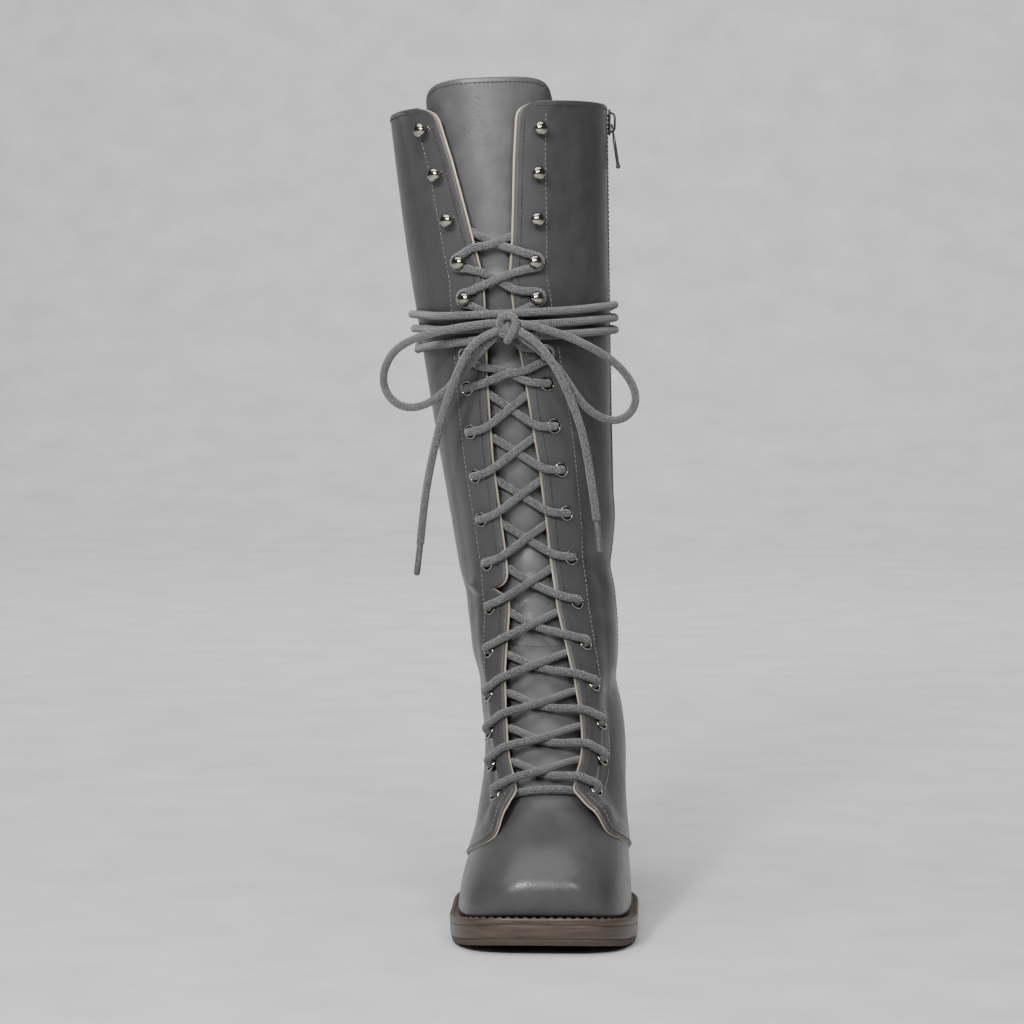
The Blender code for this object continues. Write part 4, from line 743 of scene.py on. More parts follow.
# Turns round the shaft (degrees from the shin, height) and the bow's routes from the knot, as in the source
bow = {
    "longWrap": np.array((
        (11.0, 302.5), (90.0, 303.0), (180.0, 304.5), (270.0, 309.6), (360.0, 308.5), (405.0, 308.8),
        (450.0, 310.0), (540.0, 305.0), (630.0, 289.9), (690.0, 294.5), (719.0, 296.5))),
    "shortWrap": np.array(((-1.0, 301.5), (-90.0, 301.9), (-180.0, 298.5), (-270.0, 296.7), (-349.0, 296.5))),
    "level": 2.7, "frontLevel": 10.2, "front": (26.0, 60.0), "crossing": (462.0, 490.0, 598.0, 630.0),
    "crossingLevel": 4.6, "knot": (-18.3, -69.4, 301.3), "aglet": 3.4, "agletLength": 17.0,
    "strands": (
        ((-1.6, -1.5, -2.6), (-4.0, -3.0, 1.2), (-3.1, -4.0, 4.6), (0.2, -4.6, 5.9), (3.3, -4.6, 4.4),
         (4.1, -4.9, 1.2), (2.9, -5.4, -2.2), (1.2, -4.8, -4.8), (0.2, -3.0, -6.6), (-0.4, 0.0, -6.6),
         (-0.6, 3.0, -4.6)),
        ((-5.8, 0.6, 1.0), (-3.2, -2.4, 0.2), (0.2, -3.2, -1.6), (3.2, -2.4, -2.2), (5.8, 0.6, -1.2)),
        ((-5.4, 1.0, -2.4), (-2.6, -2.0, -3.4), (0.6, -2.4, -4.4), (3.4, -1.4, -3.8), (5.2, 1.0, -2.6)),
    ),
    "routes": {
        "lace_loop_lateral": (
            (-25.4, -70.0, 303.2), (-44.4, -68.0, 300.8), (-63.8, -61.0, 296.1), (-78.3, -52.0, 287.7),
            (-83.9, -46.0, 273.5), (-78.2, -46.0, 262.2), (-66.0, -50.0, 259.7), (-51.1, -58.0, 268.2),
            (-37.4, -65.0, 283.3), (-24.8, -67.4, 296.6)),
        "lace_loop_medial": (
            (-11.2, -70.0, 302.9), (6.8, -68.0, 298.3), (22.6, -62.0, 291.5), (37.9, -52.0, 281.0),
            (46.6, -45.0, 266.8), (43.5, -45.0, 255.9), (33.2, -49.0, 253.0), (21.4, -57.0, 260.0),
            (12.8, -63.0, 272.0), (1.6, -66.6, 285.9), (-11.6, -67.4, 296.6)),
        "lace_end_lateral": (
            (-26.4, -73.2, 298.2), (-33.0, -74.2, 294.6), (-41.0, -74.2, 284.4), (-49.5, -68.0, 263.9),
            (-55.6, -61.0, 243.1), (-61.2, -53.0, 217.0), (-64.6, -48.0, 190.3), (-66.8, -46.0, 172.0)),
        "lace_end_medial": (
            (-10.2, -73.2, 298.0), (-3.2, -74.6, 292.8), (4.9, -74.4, 282.6), (13.2, -70.0, 265.8),
            (19.5, -65.0, 247.4), (23.5, -60.0, 226.6), (27.1, -56.0, 200.7), (28.6, -54.0, 184.6)),
    },
}


# Turn of the lace round the shaft: it follows the upper, raised over the facings and where it crosses itself
def wrapLine(table):
    ends = table[(0, -1), 0]
    turn = np.linspace(*ends, int(abs(ends[1] - ends[0]) / 3.0) + 1)
    order = np.argsort(table[:, 0])
    height = np.interp(turn, table[order, 0], table[order, 1])
    kernel = np.hanning(15) / np.hanning(15).sum()
    height = np.convolve(np.pad(height, 7, mode="edge"), kernel, mode="valid")
    fromShin = np.abs((turn + 180.0) % 360.0 - 180.0)
    near, far = bow["front"]
    rise = (bow["frontLevel"] - bow["level"]) * (1.0 - smooth((fromShin - near) / (far - near)))
    start, full, leave, end = bow["crossing"]
    over = smooth((turn - start) / (full - start)) * (1.0 - smooth((turn - leave) / (end - leave)))
    return skin(np.radians(turn), rowAtHeight(height), bow["level"] + rise + over * bow["crossingLevel"])


# Knot: one strand in a ring over two that cross the front, and a filled heart behind them
def addKnot():
    middle = np.array(bow["knot"])
    parts, uvs = [], []
    for strand in bow["strands"]:
        points, faces, uv = tube(routeCurve(np.array(strand) + middle, 0.8), lace["diameter"] / 2.0 - 0.1, 12)
        parts.append((points, faces))
        uvs.append(uv)
    heart = tube(np.array([middle + np.array((0.0, 1.0, z)) for z in np.linspace(-5.0, 5.0, 9)]),
                 3.2 * np.sqrt(1.0 - np.linspace(-0.95, 0.95, 9) ** 2), 12)
    parts.append(heart[:2])
    uvs.append(heart[2])
    points, faces = joined(parts)
    return addPiece("lace_bow_knot", points, faces, cordFinish, ["lace_knot"], uv=np.concatenate(uvs),
                    slot="cord")


# Loops and ends as free cords that start inside the knot, their tips, and the turns round the shaft
def addBow():
    for name, table in (("lace_wrap_long", bow["longWrap"]), ("lace_wrap_short", bow["shortWrap"])):
        points, faces, uv = tube(wrapLine(table), lace["diameter"] / 2.0, lace["sides"])
        addPiece(name.replace("wrap", "turns"), points, faces, cordFinish, [name], uv=uv, slot="cord")
    knot = addKnot()
    for name, route in bow["routes"].items():
        heart = np.array(bow["knot"]) + np.array((math.copysign(2.0, route[0][0] - bow["knot"][0]), 0.3, 0.0))
        inKnot = [0.7 * heart + 0.3 * np.array(p) for p in (route[0], route[-1])]
        route = [inKnot[0], *route] + ([inKnot[1]] if "loop" in name else [])
        line = routeCurve(route, 1.5)
        tips = []
        if name.startswith("lace_end"):
            rest = lengthOf(line)[-1] - lengthOf(line)
            tipLine = line[rest <= bow["agletLength"]]
            line = line[rest >= bow["agletLength"] - 0.8]
            taper = 1.0 - np.linspace(-0.82, 0.9, len(tipLine)) ** 12
            points, faces, _ = tube(tipLine, bow["aglet"] / 2.0 * np.sqrt(np.clip(taper, 0.05, 1.0)), 14)
            node = name.replace("lace_end", "aglet")
            tips = [addPiece(node.replace("aglet", "lace_tip"), points, faces, acetate, [node], slot="aglet")]
        points, faces, uv = tube(line, lace["diameter"] / 2.0, lace["sides"])
        made = addPiece(name.replace("lace_", "bow_"), points, faces, cordFinish, [name], uv=uv, slot="cord")


addLace()
addBow()
print("lace and bow made")


# Soft creases: angle and height of the middle, half length, half width and depth in millimetres, and
# tilt in degrees
creases = np.array((
    (78.0, 176.0, 30.0, 8.0, 1.7, -14.0),
    (84.0, 114.0, 34.0, 9.0, 2.0, 12.0),
    (52.0, 172.0, 16.0, 5.0, 0.9, -38.0),
    (60.0, 146.0, 18.0, 5.0, -0.7, -20.0),
    (100.0, 200.0, 30.0, 9.0, -0.9, 0.0),
    (-82.0, 160.0, 28.0, 8.0, 1.0, 10.0),
    (-88.0, 118.0, 34.0, 9.0, 1.6, -10.0),
    (-60.0, 138.0, 20.0, 6.0, -0.6, 18.0),
    (-125.0, 142.0, 30.0, 8.0, 1.2, -8.0),
    (150.0, 150.0, 34.0, 9.0, 1.3, 6.0),
    (-165.0, 168.0, 30.0, 9.0, -0.8, 0.0),
))
shaftRadius = 48.0  # millimetres that a radian spans round the ankle


# Depth of all creases at a place: each is a bell across its line and a flat-topped bell along it
def creaseLevel(angle, points):
    level = np.zeros(angle.shape)
    for middle, height, length, width, depth, tilt in creases:
        turn = (angle - math.radians(middle) + math.pi) % (2.0 * math.pi) - math.pi
        run, rise = turn * shaftRadius, points[..., 2] - height
        lean = math.radians(tilt)
        u = run * math.cos(lean) + rise * math.sin(lean)
        v = rise * math.cos(lean) - run * math.sin(lean)
        level -= depth * np.exp(-(v / width) ** 2 - (u / length) ** 4)
    return level


# Free front edge of a quarter by row: a spline up the derby line from the feather, a quadratic curve round
# the tip, then the throat; unless left whole, its collar corner is rounded and the flex notch cut, steep
# below and arched above
def frontEdge(side, rows, whole=False):
    e = throatEdges[side]
    turn, tip = throat["tipRound"], throat["tip"][side]
    t = np.linspace(0.0, 1.0, 14)[1:]
    drop = throat["tipDrop"][side]
    low = np.array(throat["derbyLine"][side]) * (math.pi / 180.0, 1.0)
    low = splineAt(low, splineBends(low), np.linspace(0.0, len(low) - 1.0, 120))
    across = np.concatenate((turn * (1.0 - t) ** 2, np.zeros(300)))
    along = np.concatenate((tip + drop * (1.0 - t) ** 2 + turn * t ** 2,
                            np.linspace(tip + turn, e["collar"] + 12.0, 301)[1:]))
    angle, row = place(side, along, across)
    fullRow = np.maximum.accumulate(np.concatenate((low[:, 1], row)))
    fullAngle = np.concatenate((low[:, 0], np.abs(angle)))
    edge = np.interp(rows, fullRow, fullAngle)
    inset = np.zeros_like(rows)
    at = np.interp(rows, row, along)
    if not whole:
        r = throat["corner"]
        inset += r - np.sqrt(np.clip(r * r - np.clip(r - (e["collar"] - at), 0.0, r) ** 2, 0.0, None))
    if side < 0 and not whole:
        off = at - alongAtHeight(-1, throat["notchHeight"])
        below, above = throat["notchHalf"]
        lower = np.clip(1.0 + off / below, 0.0, 1.0)
        upper = 1.0 - np.sqrt(np.clip(1.0 - np.clip(1.0 - off / above, 0.0, 1.0) ** 2, 0.0, 1.0))
        inset += throat["notchDepth"] * np.where(off < 0.0, lower, upper)
    byAngle, _ = slopes(side * edge, rows)
    return side * (edge + inset / np.linalg.norm(byAngle, axis=-1))


# Edges of the zip's slit by row: its middle lies at one depth, and below its foot it closes to a seam
def zipEdges(rows):
    c = section(rows)
    middle = np.arccos(1.0 - 2.0 * (zipLine["y"] - c["frontY"]) / (c["backY"] - c["frontY"]))
    byAngle, _ = slopes(middle, rows)
    half = 0.06 + (zipLine["half"] - 0.06) * smooth((rows - zipLine["footRow"] + 0.1) / 0.2)
    half = half / np.linalg.norm(byAngle, axis=-1)
    return middle - half, middle + half


# Rows of a quarter, evenly apart on its side, with more at the derby tip and at the notch
def quarterRows(side, count):
    fine = np.linspace(0.0, throat["collarRow"], 800)
    length = lengthOf(surfaceAt(np.full(800, side * 1.2), fine))
    rows = np.interp(np.linspace(0.0, length[-1], count), length, fine)
    extra = [np.linspace(3.6, 6.1, 60)]
    middle = alongAtHeight(-1, throat["notchHeight"])
    if side < 0:
        extra.append(edgeAt(-1, middle + np.linspace(-6.0, 10.0, 44))[1])
    extra.append(edgeAt(side, throatEdges[side]["collar"] - np.linspace(0.0, 8.0, 14) ** 2 / 8.0)[1])
    rows = np.unique(np.concatenate([rows] + extra).clip(0.0, throat["collarRow"]))
    return rows[np.concatenate(((True,), np.diff(rows) > 0.002))]


# Profile of a free edge, from the lining to the outside: place in the thickness (-1 to 1), how far it stands
# out in millimetres and its mark (1 raw leather, -1 painted shade in the gap between lining and leather)
bareEdge = np.array((
    (-0.94, 1.0, 0.5), (-0.72, 1.6, 1.0), (-0.36, 1.8, 1.0), (-0.12, 1.65, 1.0), (-0.04, 1.25, 0.8),
    (0.0, 0.3, -1.0), (0.12, 0.25, -1.0), (0.18, 0.6, 0.3), (0.42, 0.8, 0.36), (0.72, 0.6, 0.2),
    (0.93, 0.25, 0.0),
))
# Profile of a turned edge: a half round 0.9 mm deep, with no mark
foldTurn = np.radians((-60.0, -30.0, 0.0, 30.0, 60.0))
foldedEdge = np.column_stack((np.sin(foldTurn), 0.9 * np.cos(foldTurn), np.zeros(len(foldTurn))))


# Loop round a sheet: out on its outside, over the far edge, back on its inside, and over the near edge.
# Gives the share of the way across, the place in the thickness, the bulge past an edge and the mark.
def sheetLoop(outerCount, innerCount, near, far):
    over, back = np.linspace(0.0, 1.0, outerCount), np.linspace(1.0, 0.0, innerCount)
    share = np.concatenate((over, np.ones(len(far)), back, np.zeros(len(near))))
    depth = np.concatenate((np.ones(outerCount), far[::-1, 0], -np.ones(innerCount), near[:, 0]))
    bulge = np.concatenate((np.zeros(outerCount), far[::-1, 1], np.zeros(innerCount), -near[:, 1]))
    mark = np.concatenate((np.zeros(outerCount), far[::-1, 2], np.zeros(innerCount), near[:, 2]))
    return share, depth, bulge, mark


# Rows that close a sheet at its ends: its two sides draw together on a half round
def cappedRows(rows):
    turn = np.radians((90.0, 60.0, 30.0))
    close = np.concatenate((np.cos(turn), np.ones(len(rows)), np.cos(turn[::-1])))
    rise = np.concatenate((-np.sin(turn), np.zeros(len(rows)), np.sin(turn[::-1])))
    full = np.concatenate((np.full(3, rows[0]), rows, np.full(3, rows[-1])))
    return full, close, rise


# The faces of a quarter without those whose middle lies in an eyelet's hole
def outsideHoles(points, faces, side):
    centres = points[faces].mean(1)
    keep = np.ones(len(faces), bool)
    for along in eyeletAlong[side]:
        at, _, _, out = frameOnFacing(side, along)
        off = centres - at
        depth = off @ out
        radius = np.linalg.norm(off - depth[:, None] * out, axis=1)
        keep &= (radius > fittings["cutRadius"]) | (np.abs(depth) > fittings["cutDepth"])
    return faces[keep]


# Quarter: its wall, the thinner leather at its free edge, a slow wave, the counts of its grid, and the
# distance of the facing's seam from the free edge by height up each side
quarter = {"wall": 2.8, "edgeThick": (1.1, 2.6), "edgeRows": (2.0, 4.0), "wallAcross": (14.0, 32.0),
           "wave": 0.22, "waveMm": (31.0, 47.0), "collarEase": 0.05, "bandFade": 1.6,
           "outer": {-1: 205, 1: 92}, "inner": {-1: 56, 1: 30}, "rows": 238,
           "seam": {
               -1: ((80.0, 12.0), (200.0, 13.6), (315.0, 16.4), (335.0, 15.6), (380.0, 12.0), (420.0, 11.0)),
               1: ((80.0, 14.6), (130.0, 15.0), (250.0, 18.4), (315.0, 17.6), (350.0, 15.6), (420.0, 13.0))}}


# Distance of the facing's seam from the free edge: straight between the heights of its table
def facingSeam(side, height):
    table = np.array(quarter["seam"][side])
    return np.interp(height, table[:, 0], table[:, 1])


# Quarter and half shaft: the last raised by the facing, the creases and a slow wave, with its own thickness
# inside
def addQuarter(side, name, nodes):
    rows, close, rise = cappedRows(quarterRows(side, quarter["rows"]))
    count = quarter["outer"][side]
    share, layer, bulge, mark = sheetLoop(count, quarter["inner"][side], bareEdge, foldedEdge)
    edge = frontEdge(side, rows)
    zipFront, zipBack = zipEdges(rows)
    far = zipFront if side > 0 else zipBack - 2.0 * math.pi
    flat = surfaceAt(edge[:, None] + (far - edge)[:, None] * np.linspace(0.0, 1.0, count), rows[:, None])
    steps = np.linalg.norm(np.diff(flat, axis=1), axis=-1)
    across = np.concatenate((np.zeros((len(rows), 1)), np.cumsum(steps, 1)), 1)
    spot = share * (count - 1)
    low = np.clip(np.floor(spot).astype(int), 0, count - 2)
    across = across[:, low] + (across[:, low + 1] - across[:, low]) * (spot - low)
    angle = edge[:, None] + (far - edge)[:, None] * share
    byAngle, _ = slopes(angle, rows[:, None])
    ease = np.clip((throat["collarRow"] - rows) / quarter["collarEase"], 0.0, 1.0)[:, None]
    angle = angle + side * ease * bulge / np.linalg.norm(byAngle, axis=-1)
    thin, full = quarter["edgeThick"]
    start, end = quarter["edgeRows"]
    thick = thin + (full - thin) * smooth((rows[:, None] - start) / (end - start))
    start, end = quarter["wallAcross"]
    thick = thick + (quarter["wall"] - thick) * smooth((across - start) / (end - start))
    row = np.broadcast_to(rows[:, None], angle.shape)
    base = surfaceAt(angle, row)
    height = base[..., 2]
    first, second = quarter["waveMm"]
    wave = quarter["wave"] * np.sin(3.0 * angle + height / first) * np.sin(height / second + angle)
    depth = layer[None, :] * close[:, None]
    level = quarterLevel(row, across) + creaseLevel(angle, base) + wave - thick / 2.0 + depth * thick / 2.0
    points = skin(angle, row, level)
    points[..., 2] += np.maximum(rise[:, None], 0.0) * 0.45 * thick * smooth(across / 4.0)
    # Painted light: the band between the free edge and the facing seam is marked to take the lighter painted
    # facing tone
    band = 1.0 - smooth((across - facingSeam(side, height)) / quarter["bandFade"])
    raw = np.maximum(mark[None, :], 0.25 * (1.0 - close[:, None]))
    raw = np.where(mark[None, :] < 0.0, mark[None, :], raw)
    points = points.reshape(-1, 3)
    faces = outsideHoles(points, gridFaces(len(rows), len(share), wrap=True), side)
    marks = {"layer": depth, "facing": band, "edge": raw}
    addPiece(name, points, faces, leather, nodes, marks, slot="leather")


addQuarter(-1, "quarter_lateral", ["upper", "facing_lateral"])
addQuarter(1, "quarter_medial", ["upper", "facing_medial"])
print("quarters made")

vamp = {"outer": 131, "inner": 41, "rows": 250, "thick": 1.7, "lap": 9.0, "ripple": 0.5, "rippleMm": 23.3,
        "rippleTurn": 1.4, "rippleTop": (330.0, 360.0), "paintedShadeRows": (5.2, 6.4)}


# Half width of vamp and tongue in angle: the free edge of the quarter plus what lies under it
def vampReach(side, rows):
    edge = np.abs(frontEdge(side, rows, whole=True))
    byAngle, _ = slopes(side * edge, rows)
    narrow, wide = tongue["lap"]
    low, high = tongue["widens"]
    lap = vamp["lap"] + (narrow - vamp["lap"]) * smooth((rows - 4.6) / 1.2)
    lap = lap + (wide - narrow) * smooth((rows - low) / (high - low))
    low, high = tongue["innerWidens"]
    topLap = (side > 0) * tongue["innerLap"] + tongue["topLap"][side]
    lap = lap + topLap * smooth((rows - low) / (high - low))
    return edge + lap / np.linalg.norm(byAngle, axis=-1)


# Row of the tongue's top by share across: a flat arch with round shoulders, a little lower on the outer side
def tongueTop(share):
    arch = tongue["crown"] * np.sqrt(1.0 - tongue["corner"] * np.abs(share) ** 5)
    return tongue["topRow"] + arch - tongue["tilt"] * np.clip(-share, 0.0, 1.0) ** 2


# How far the tongue falls back by row and share across: a cube of the share, little between the laces and
# more at the free top
def tongueFall(row, share):
    low, high = tongue["fallBack"]
    start, end = tongue["fallRows"]
    deep = low + (high - low) * smooth((row - start) / (end - start))
    return deep * np.abs(share) ** 3 * smooth((row - 6.6) / 2.0)


# Vamp and tongue in one sheet: the last one leather down, then sunk below the laces, crowned at its top
def addVampAndTongue():
    top = tongue["topRow"] + tongue["crown"]
    fine = np.linspace(0.0, top, 900)
    length = lengthOf(surfaceAt(np.full(900, 0.3), fine))
    rows, close, rise = cappedRows(np.interp(np.linspace(0.0, length[-1], vamp["rows"]), length, fine))
    share, layer, bulge, _ = sheetLoop(vamp["outer"], vamp["inner"], foldedEdge, foldedEdge)
    t = 2.0 * share - 1.0
    t = np.sign(t) * np.abs(t) ** 1.25
    begin = tongue["crownFrom"]
    stretch = (tongueTop(t)[None, :] - begin) / (top - begin)
    full = np.where(rows[:, None] > begin, begin + (rows[:, None] - begin) * stretch, rows[:, None])
    reach = np.where(t < 0.0, vampReach(-1, rows)[:, None], vampReach(1, rows)[:, None])
    angle = reach * t[None, :]
    byAngle, _ = slopes(angle, full)
    angle = angle + bulge / np.linalg.norm(byAngle, axis=-1)
    thick = vamp["thick"] + (tongue["thick"] - vamp["thick"]) * smooth((full - 5.6) / 1.0)
    height = surfaceAt(angle, full)[..., 2]
    start, end = vamp["rippleTop"]
    inTongue = smooth((full - 6.0) / 1.5) * (1.0 - smooth((height - start) / (end - start)))
    turn = 2.0 * math.pi * height / vamp["rippleMm"] + vamp["rippleTurn"]
    ripple = vamp["ripple"] * inTongue * np.cos(turn) * (1.0 - t ** 2)
    half, deep = tongue["groove"]
    groove = sum(np.exp(-((height - seam) / half) ** 2) for seam in tongue["seams"]) * deep
    depth = layer[None, :] * close[:, None]
    level = tongueLevel(full) + ripple - groove - tongueFall(full, t) - thick / 2.0 + depth * thick / 2.0
    points = skin(angle, full, level)
    points[..., 2] += np.maximum(rise[:, None], 0.0) * 0.45 * thick
    faces = gridFaces(len(rows), len(share), wrap=True)
    # Painted shade: the vamp below the laces is marked to take the tongue look's dark facing colour
    start, end = vamp["paintedShadeRows"]
    shade = 1.0 - smooth((full - start) / (end - start))
    marks = {"layer": depth, "facing": shade, "edge": np.zeros_like(depth)}
    addPiece("vamp_and_tongue", points, faces, tongueLeatherPaintedLight, ["tongue"], marks, slot="leather")


addVampAndTongue()
print("vamp and tongue made")


# Stitch runs gather here as (points, normals) along each seam
seams, edgeSeams = [], []


# Seam on the outside of a quarter at a distance across from its free edge
def seamOnQuarter(side, along, across, above=0.05):
    angle, row = place(side, along, across)
    base = surfaceAt(angle, row)
    level = quarterLevel(row, np.asarray(across, float)) + creaseLevel(angle, base) + above
    return skin(angle, row, level), normalAt(angle, row)


# Seam at a distance from the free front edge, by row, on the derby line
def seamByRow(side, rows, inset, above=0.05):
    edge = frontEdge(side, rows)
    byAngle, _ = slopes(edge, rows)
    angle = edge + side * inset / np.linalg.norm(byAngle, axis=-1)
    level = quarterLevel(rows, np.full_like(rows, inset)) + creaseLevel(angle, surfaceAt(angle, rows)) + above
    return skin(angle, rows, level), normalAt(angle, rows)


stitch = {"pitch": 2.5, "length": 1.8, "radius": 0.31, "sides": 6, "facingLine": 0.6, "derbyInset": 3.2,
          "edgeInset": 2.9, "edgePitch": 2.3, "edgeRadius": 0.34, "zipInsets": (2.2, 5.0),
          "collarDrop": 0.025, "crownDrop": 0.028}


# Each stitch is a short spindle that dips into the leather at its ends, repeated along a seam
def stitchesAlong(line, normals, pitch, length, radius):
    run = lengthOf(line)
    count = int(run[-1] / pitch)
    at = (np.arange(count) + 0.5) * run[-1] / count
    centre, up = (np.stack([np.interp(at, run, a[:, k]) for k in range(3)], -1) for a in (line, normals))
    ahead = np.stack([np.interp(at + 0.6, run, line[:, k]) - np.interp(at - 0.6, run, line[:, k])
                      for k in range(3)], -1)
    ahead = unit(ahead)
    up = unit(up - ahead * np.sum(ahead * up, -1, keepdims=True))
    side = np.cross(ahead, up)
    s = np.linspace(-1.0, 1.0, 5)
    turn = np.linspace(0.0, 2.0 * math.pi, stitch["sides"], endpoint=False)
    thick = radius * np.sqrt(1.0 - 0.92 * s ** 2)
    u = (s * length / 2.0)[:, None] + 0.0 * turn
    v = thick[:, None] * np.cos(turn)
    w = thick[:, None] * np.sin(turn) + (radius * 0.5 - 0.7 * radius * s ** 2)[:, None]
    grid = (centre[:, None, None] + u[..., None] * ahead[:, None, None] + v[..., None] * side[:, None, None]
            + w[..., None] * up[:, None, None])
    shape = gridFaces(5, stitch["sides"], wrap=True)
    faces = (shape[None] + (np.arange(count) * 5 * stitch["sides"])[:, None, None]).reshape(-1, 4)
    return grid.reshape(-1, 3), faces


# Collar seam of a quarter: a little below its top, from the throat corner to the zip
def collarSeam(side):
    row = throat["collarRow"] - stitch["collarDrop"]
    edge = frontEdge(side, np.array((throat["collarRow"],)))[0]
    zipFront, zipBack = zipEdges(np.array((row,)))
    far = zipFront[0] - 0.05 if side > 0 else zipBack[0] - 2.0 * math.pi + 0.05
    angle = np.linspace(edge, far, 300)
    rows = np.full(300, row)
    across = np.abs(angle - edge) * 50.0 + 8.0
    level = quarterLevel(rows, across) + creaseLevel(angle, surfaceAt(angle, rows)) + 0.05
    return skin(angle, rows, level), normalAt(angle, rows)


# Seam beside the zip, by row
def zipSeam(side, inset):
    rows = np.linspace(zipLine["footRow"] + 0.1, throat["collarRow"] - 0.05, 400)
    zipFront, zipBack = zipEdges(rows)
    byAngle, _ = slopes(zipFront, rows)
    shift = inset / np.linalg.norm(byAngle, axis=-1)
    angle = zipFront - shift if side > 0 else zipBack + shift
    base = surfaceAt(angle, rows)
    return skin(angle, rows, creaseLevel(angle, base) + 0.08), normalAt(angle, rows)


# Seam on the tongue: across it at a height, or along its top
def tongueSeam(rows, shares, above=0.08):
    angle = np.where(shares < 0.0, vampReach(-1, rows), vampReach(1, rows)) * shares
    return skin(angle, rows, tongueLevel(rows) - tongueFall(rows, shares) + above), normalAt(angle, rows)


for side in (-1, 1):
    collar = throatEdges[side]["collar"]
    span = np.linspace(-6.0, collar - 4.0, 500)
    seamHeight = surfaceAt(*edgeAt(side, span))[:, 2]
    seams.append(seamOnQuarter(side, span, facingSeam(side, seamHeight) + stitch["facingLine"]))
    seams.append(seamByRow(side, np.linspace(0.4, 5.5, 240), stitch["derbyInset"]))
    edgeSeams.append(collarSeam(side))
    edgeSeams += [zipSeam(side, inset) for inset in stitch["zipInsets"]]
    notch = alongAtHeight(-1, throat["notchHeight"])
    spans = ((-1.0, notch - 8.0), (notch + 11.0, collar - 9.0)) if side < 0 else ((-1.0, collar - 9.0),)
    for low, high in spans:
        edgeSeams.append(seamOnQuarter(side, np.linspace(low, high, 400), np.full(400, stitch["edgeInset"])))
crownShare = np.linspace(-0.96, 0.96, 200)
edgeSeams.append(tongueSeam(tongueTop(crownShare) - stitch["crownDrop"], crownShare))
for seam in tongue["seams"]:
    seams.append(tongueSeam(np.full(60, rowAtHeight(seam)), np.linspace(-0.62, 0.62, 60)))
runs = [stitchesAlong(*seam, stitch["pitch"], stitch["length"], stitch["radius"]) for seam in seams]
addPiece("seam_stitches", *joined(runs), thread, slot="leather")
edgeRuns = [stitchesAlong(*seam, stitch["edgePitch"], stitch["length"], stitch["edgeRadius"])
            for seam in edgeSeams]
addPiece("edge_stitches", *joined(edgeRuns), darkThread, slot="leather")
print("stitches made:", len(runs) + len(edgeRuns), "seams")

# Eyelet: a rolled ring with its barrel, and hook: a ball head on a stem; both as radius and height in
# millimetres
eyeletRing = {"seat": 0.1, "sides": 24,
              "profile": ((2.9, -2.3), (2.95, 0.3), (3.1, 0.72), (3.4, 0.92), (3.75, 0.84), (4.02, 0.5),
                          (4.1, 0.1), (3.95, -0.1), (3.1, -0.1), (3.05, -2.3))}
ballHook = {"seat": 0.1, "sides": 24,
            "profile": ((0.02, -0.3), (1.7, -0.2), (1.75, 0.2), (1.6, 0.4), (1.45, 0.6), (1.35, 1.4),
                        (1.35, 3.9), (2.2, 4.1), (2.9, 4.55), (3.4, 5.2), (3.6, 6.0), (3.5, 6.9),
                        (3.1, 7.65), (2.4, 8.25), (1.5, 8.65), (0.6, 8.82), (0.02, 8.85))}


# Turned fitting on each facing place: a profile spun about the outward direction
def turnedFittings(settings, places, wrap):
    profile = np.array(settings["profile"])
    turn = np.linspace(0.0, 2.0 * math.pi, settings["sides"], endpoint=False)
    parts = []
    for at, up, across, out in places:
        around = np.cos(turn)[:, None] * up + np.sin(turn)[:, None] * across
        grid = (at + profile[:, None, :1] * around[None] + (profile[:, None, 1:] + settings["seat"]) * out)
        rows = len(profile)
        faces = gridFaces(rows, settings["sides"], wrap=True)
        if wrap:
            j = np.arange(settings["sides"])
            k = (j + 1) % settings["sides"]
            end = (rows - 1) * settings["sides"]
            faces = np.concatenate((faces, np.stack((end + j, end + k, k, j), -1)))
        parts.append((grid.reshape(-1, 3), faces))
    return joined(parts)


# CAD nodes of one kind of fitting, on the outer side and then the inner, each from the lowest up
def fittingNodes(kind, count):
    return [f"{kind}_{side}_{k:02d}" for side in ("lateral", "medial") for k in range(1, count + 1)]


rings = [frameOnFacing(side, along) for side in (-1, 1) for along in eyeletAlong[side]]
addPiece("eyelet_rings", *turnedFittings(eyeletRing, rings, True), nickel,
         fittingNodes("eyelet", fittings["eyelets"]), slot="nickel")
balls = [frameOnFacing(side, along, fittings["hookAcross"][side]) for side in (-1, 1)
         for along in hookAlong[side]]
addPiece("ball_hooks", *turnedFittings(ballHook, balls, False), nickel,
         fittingNodes("hook", len(fittings["hooks"])), slot="nickel")
print("eyelets and hooks made")

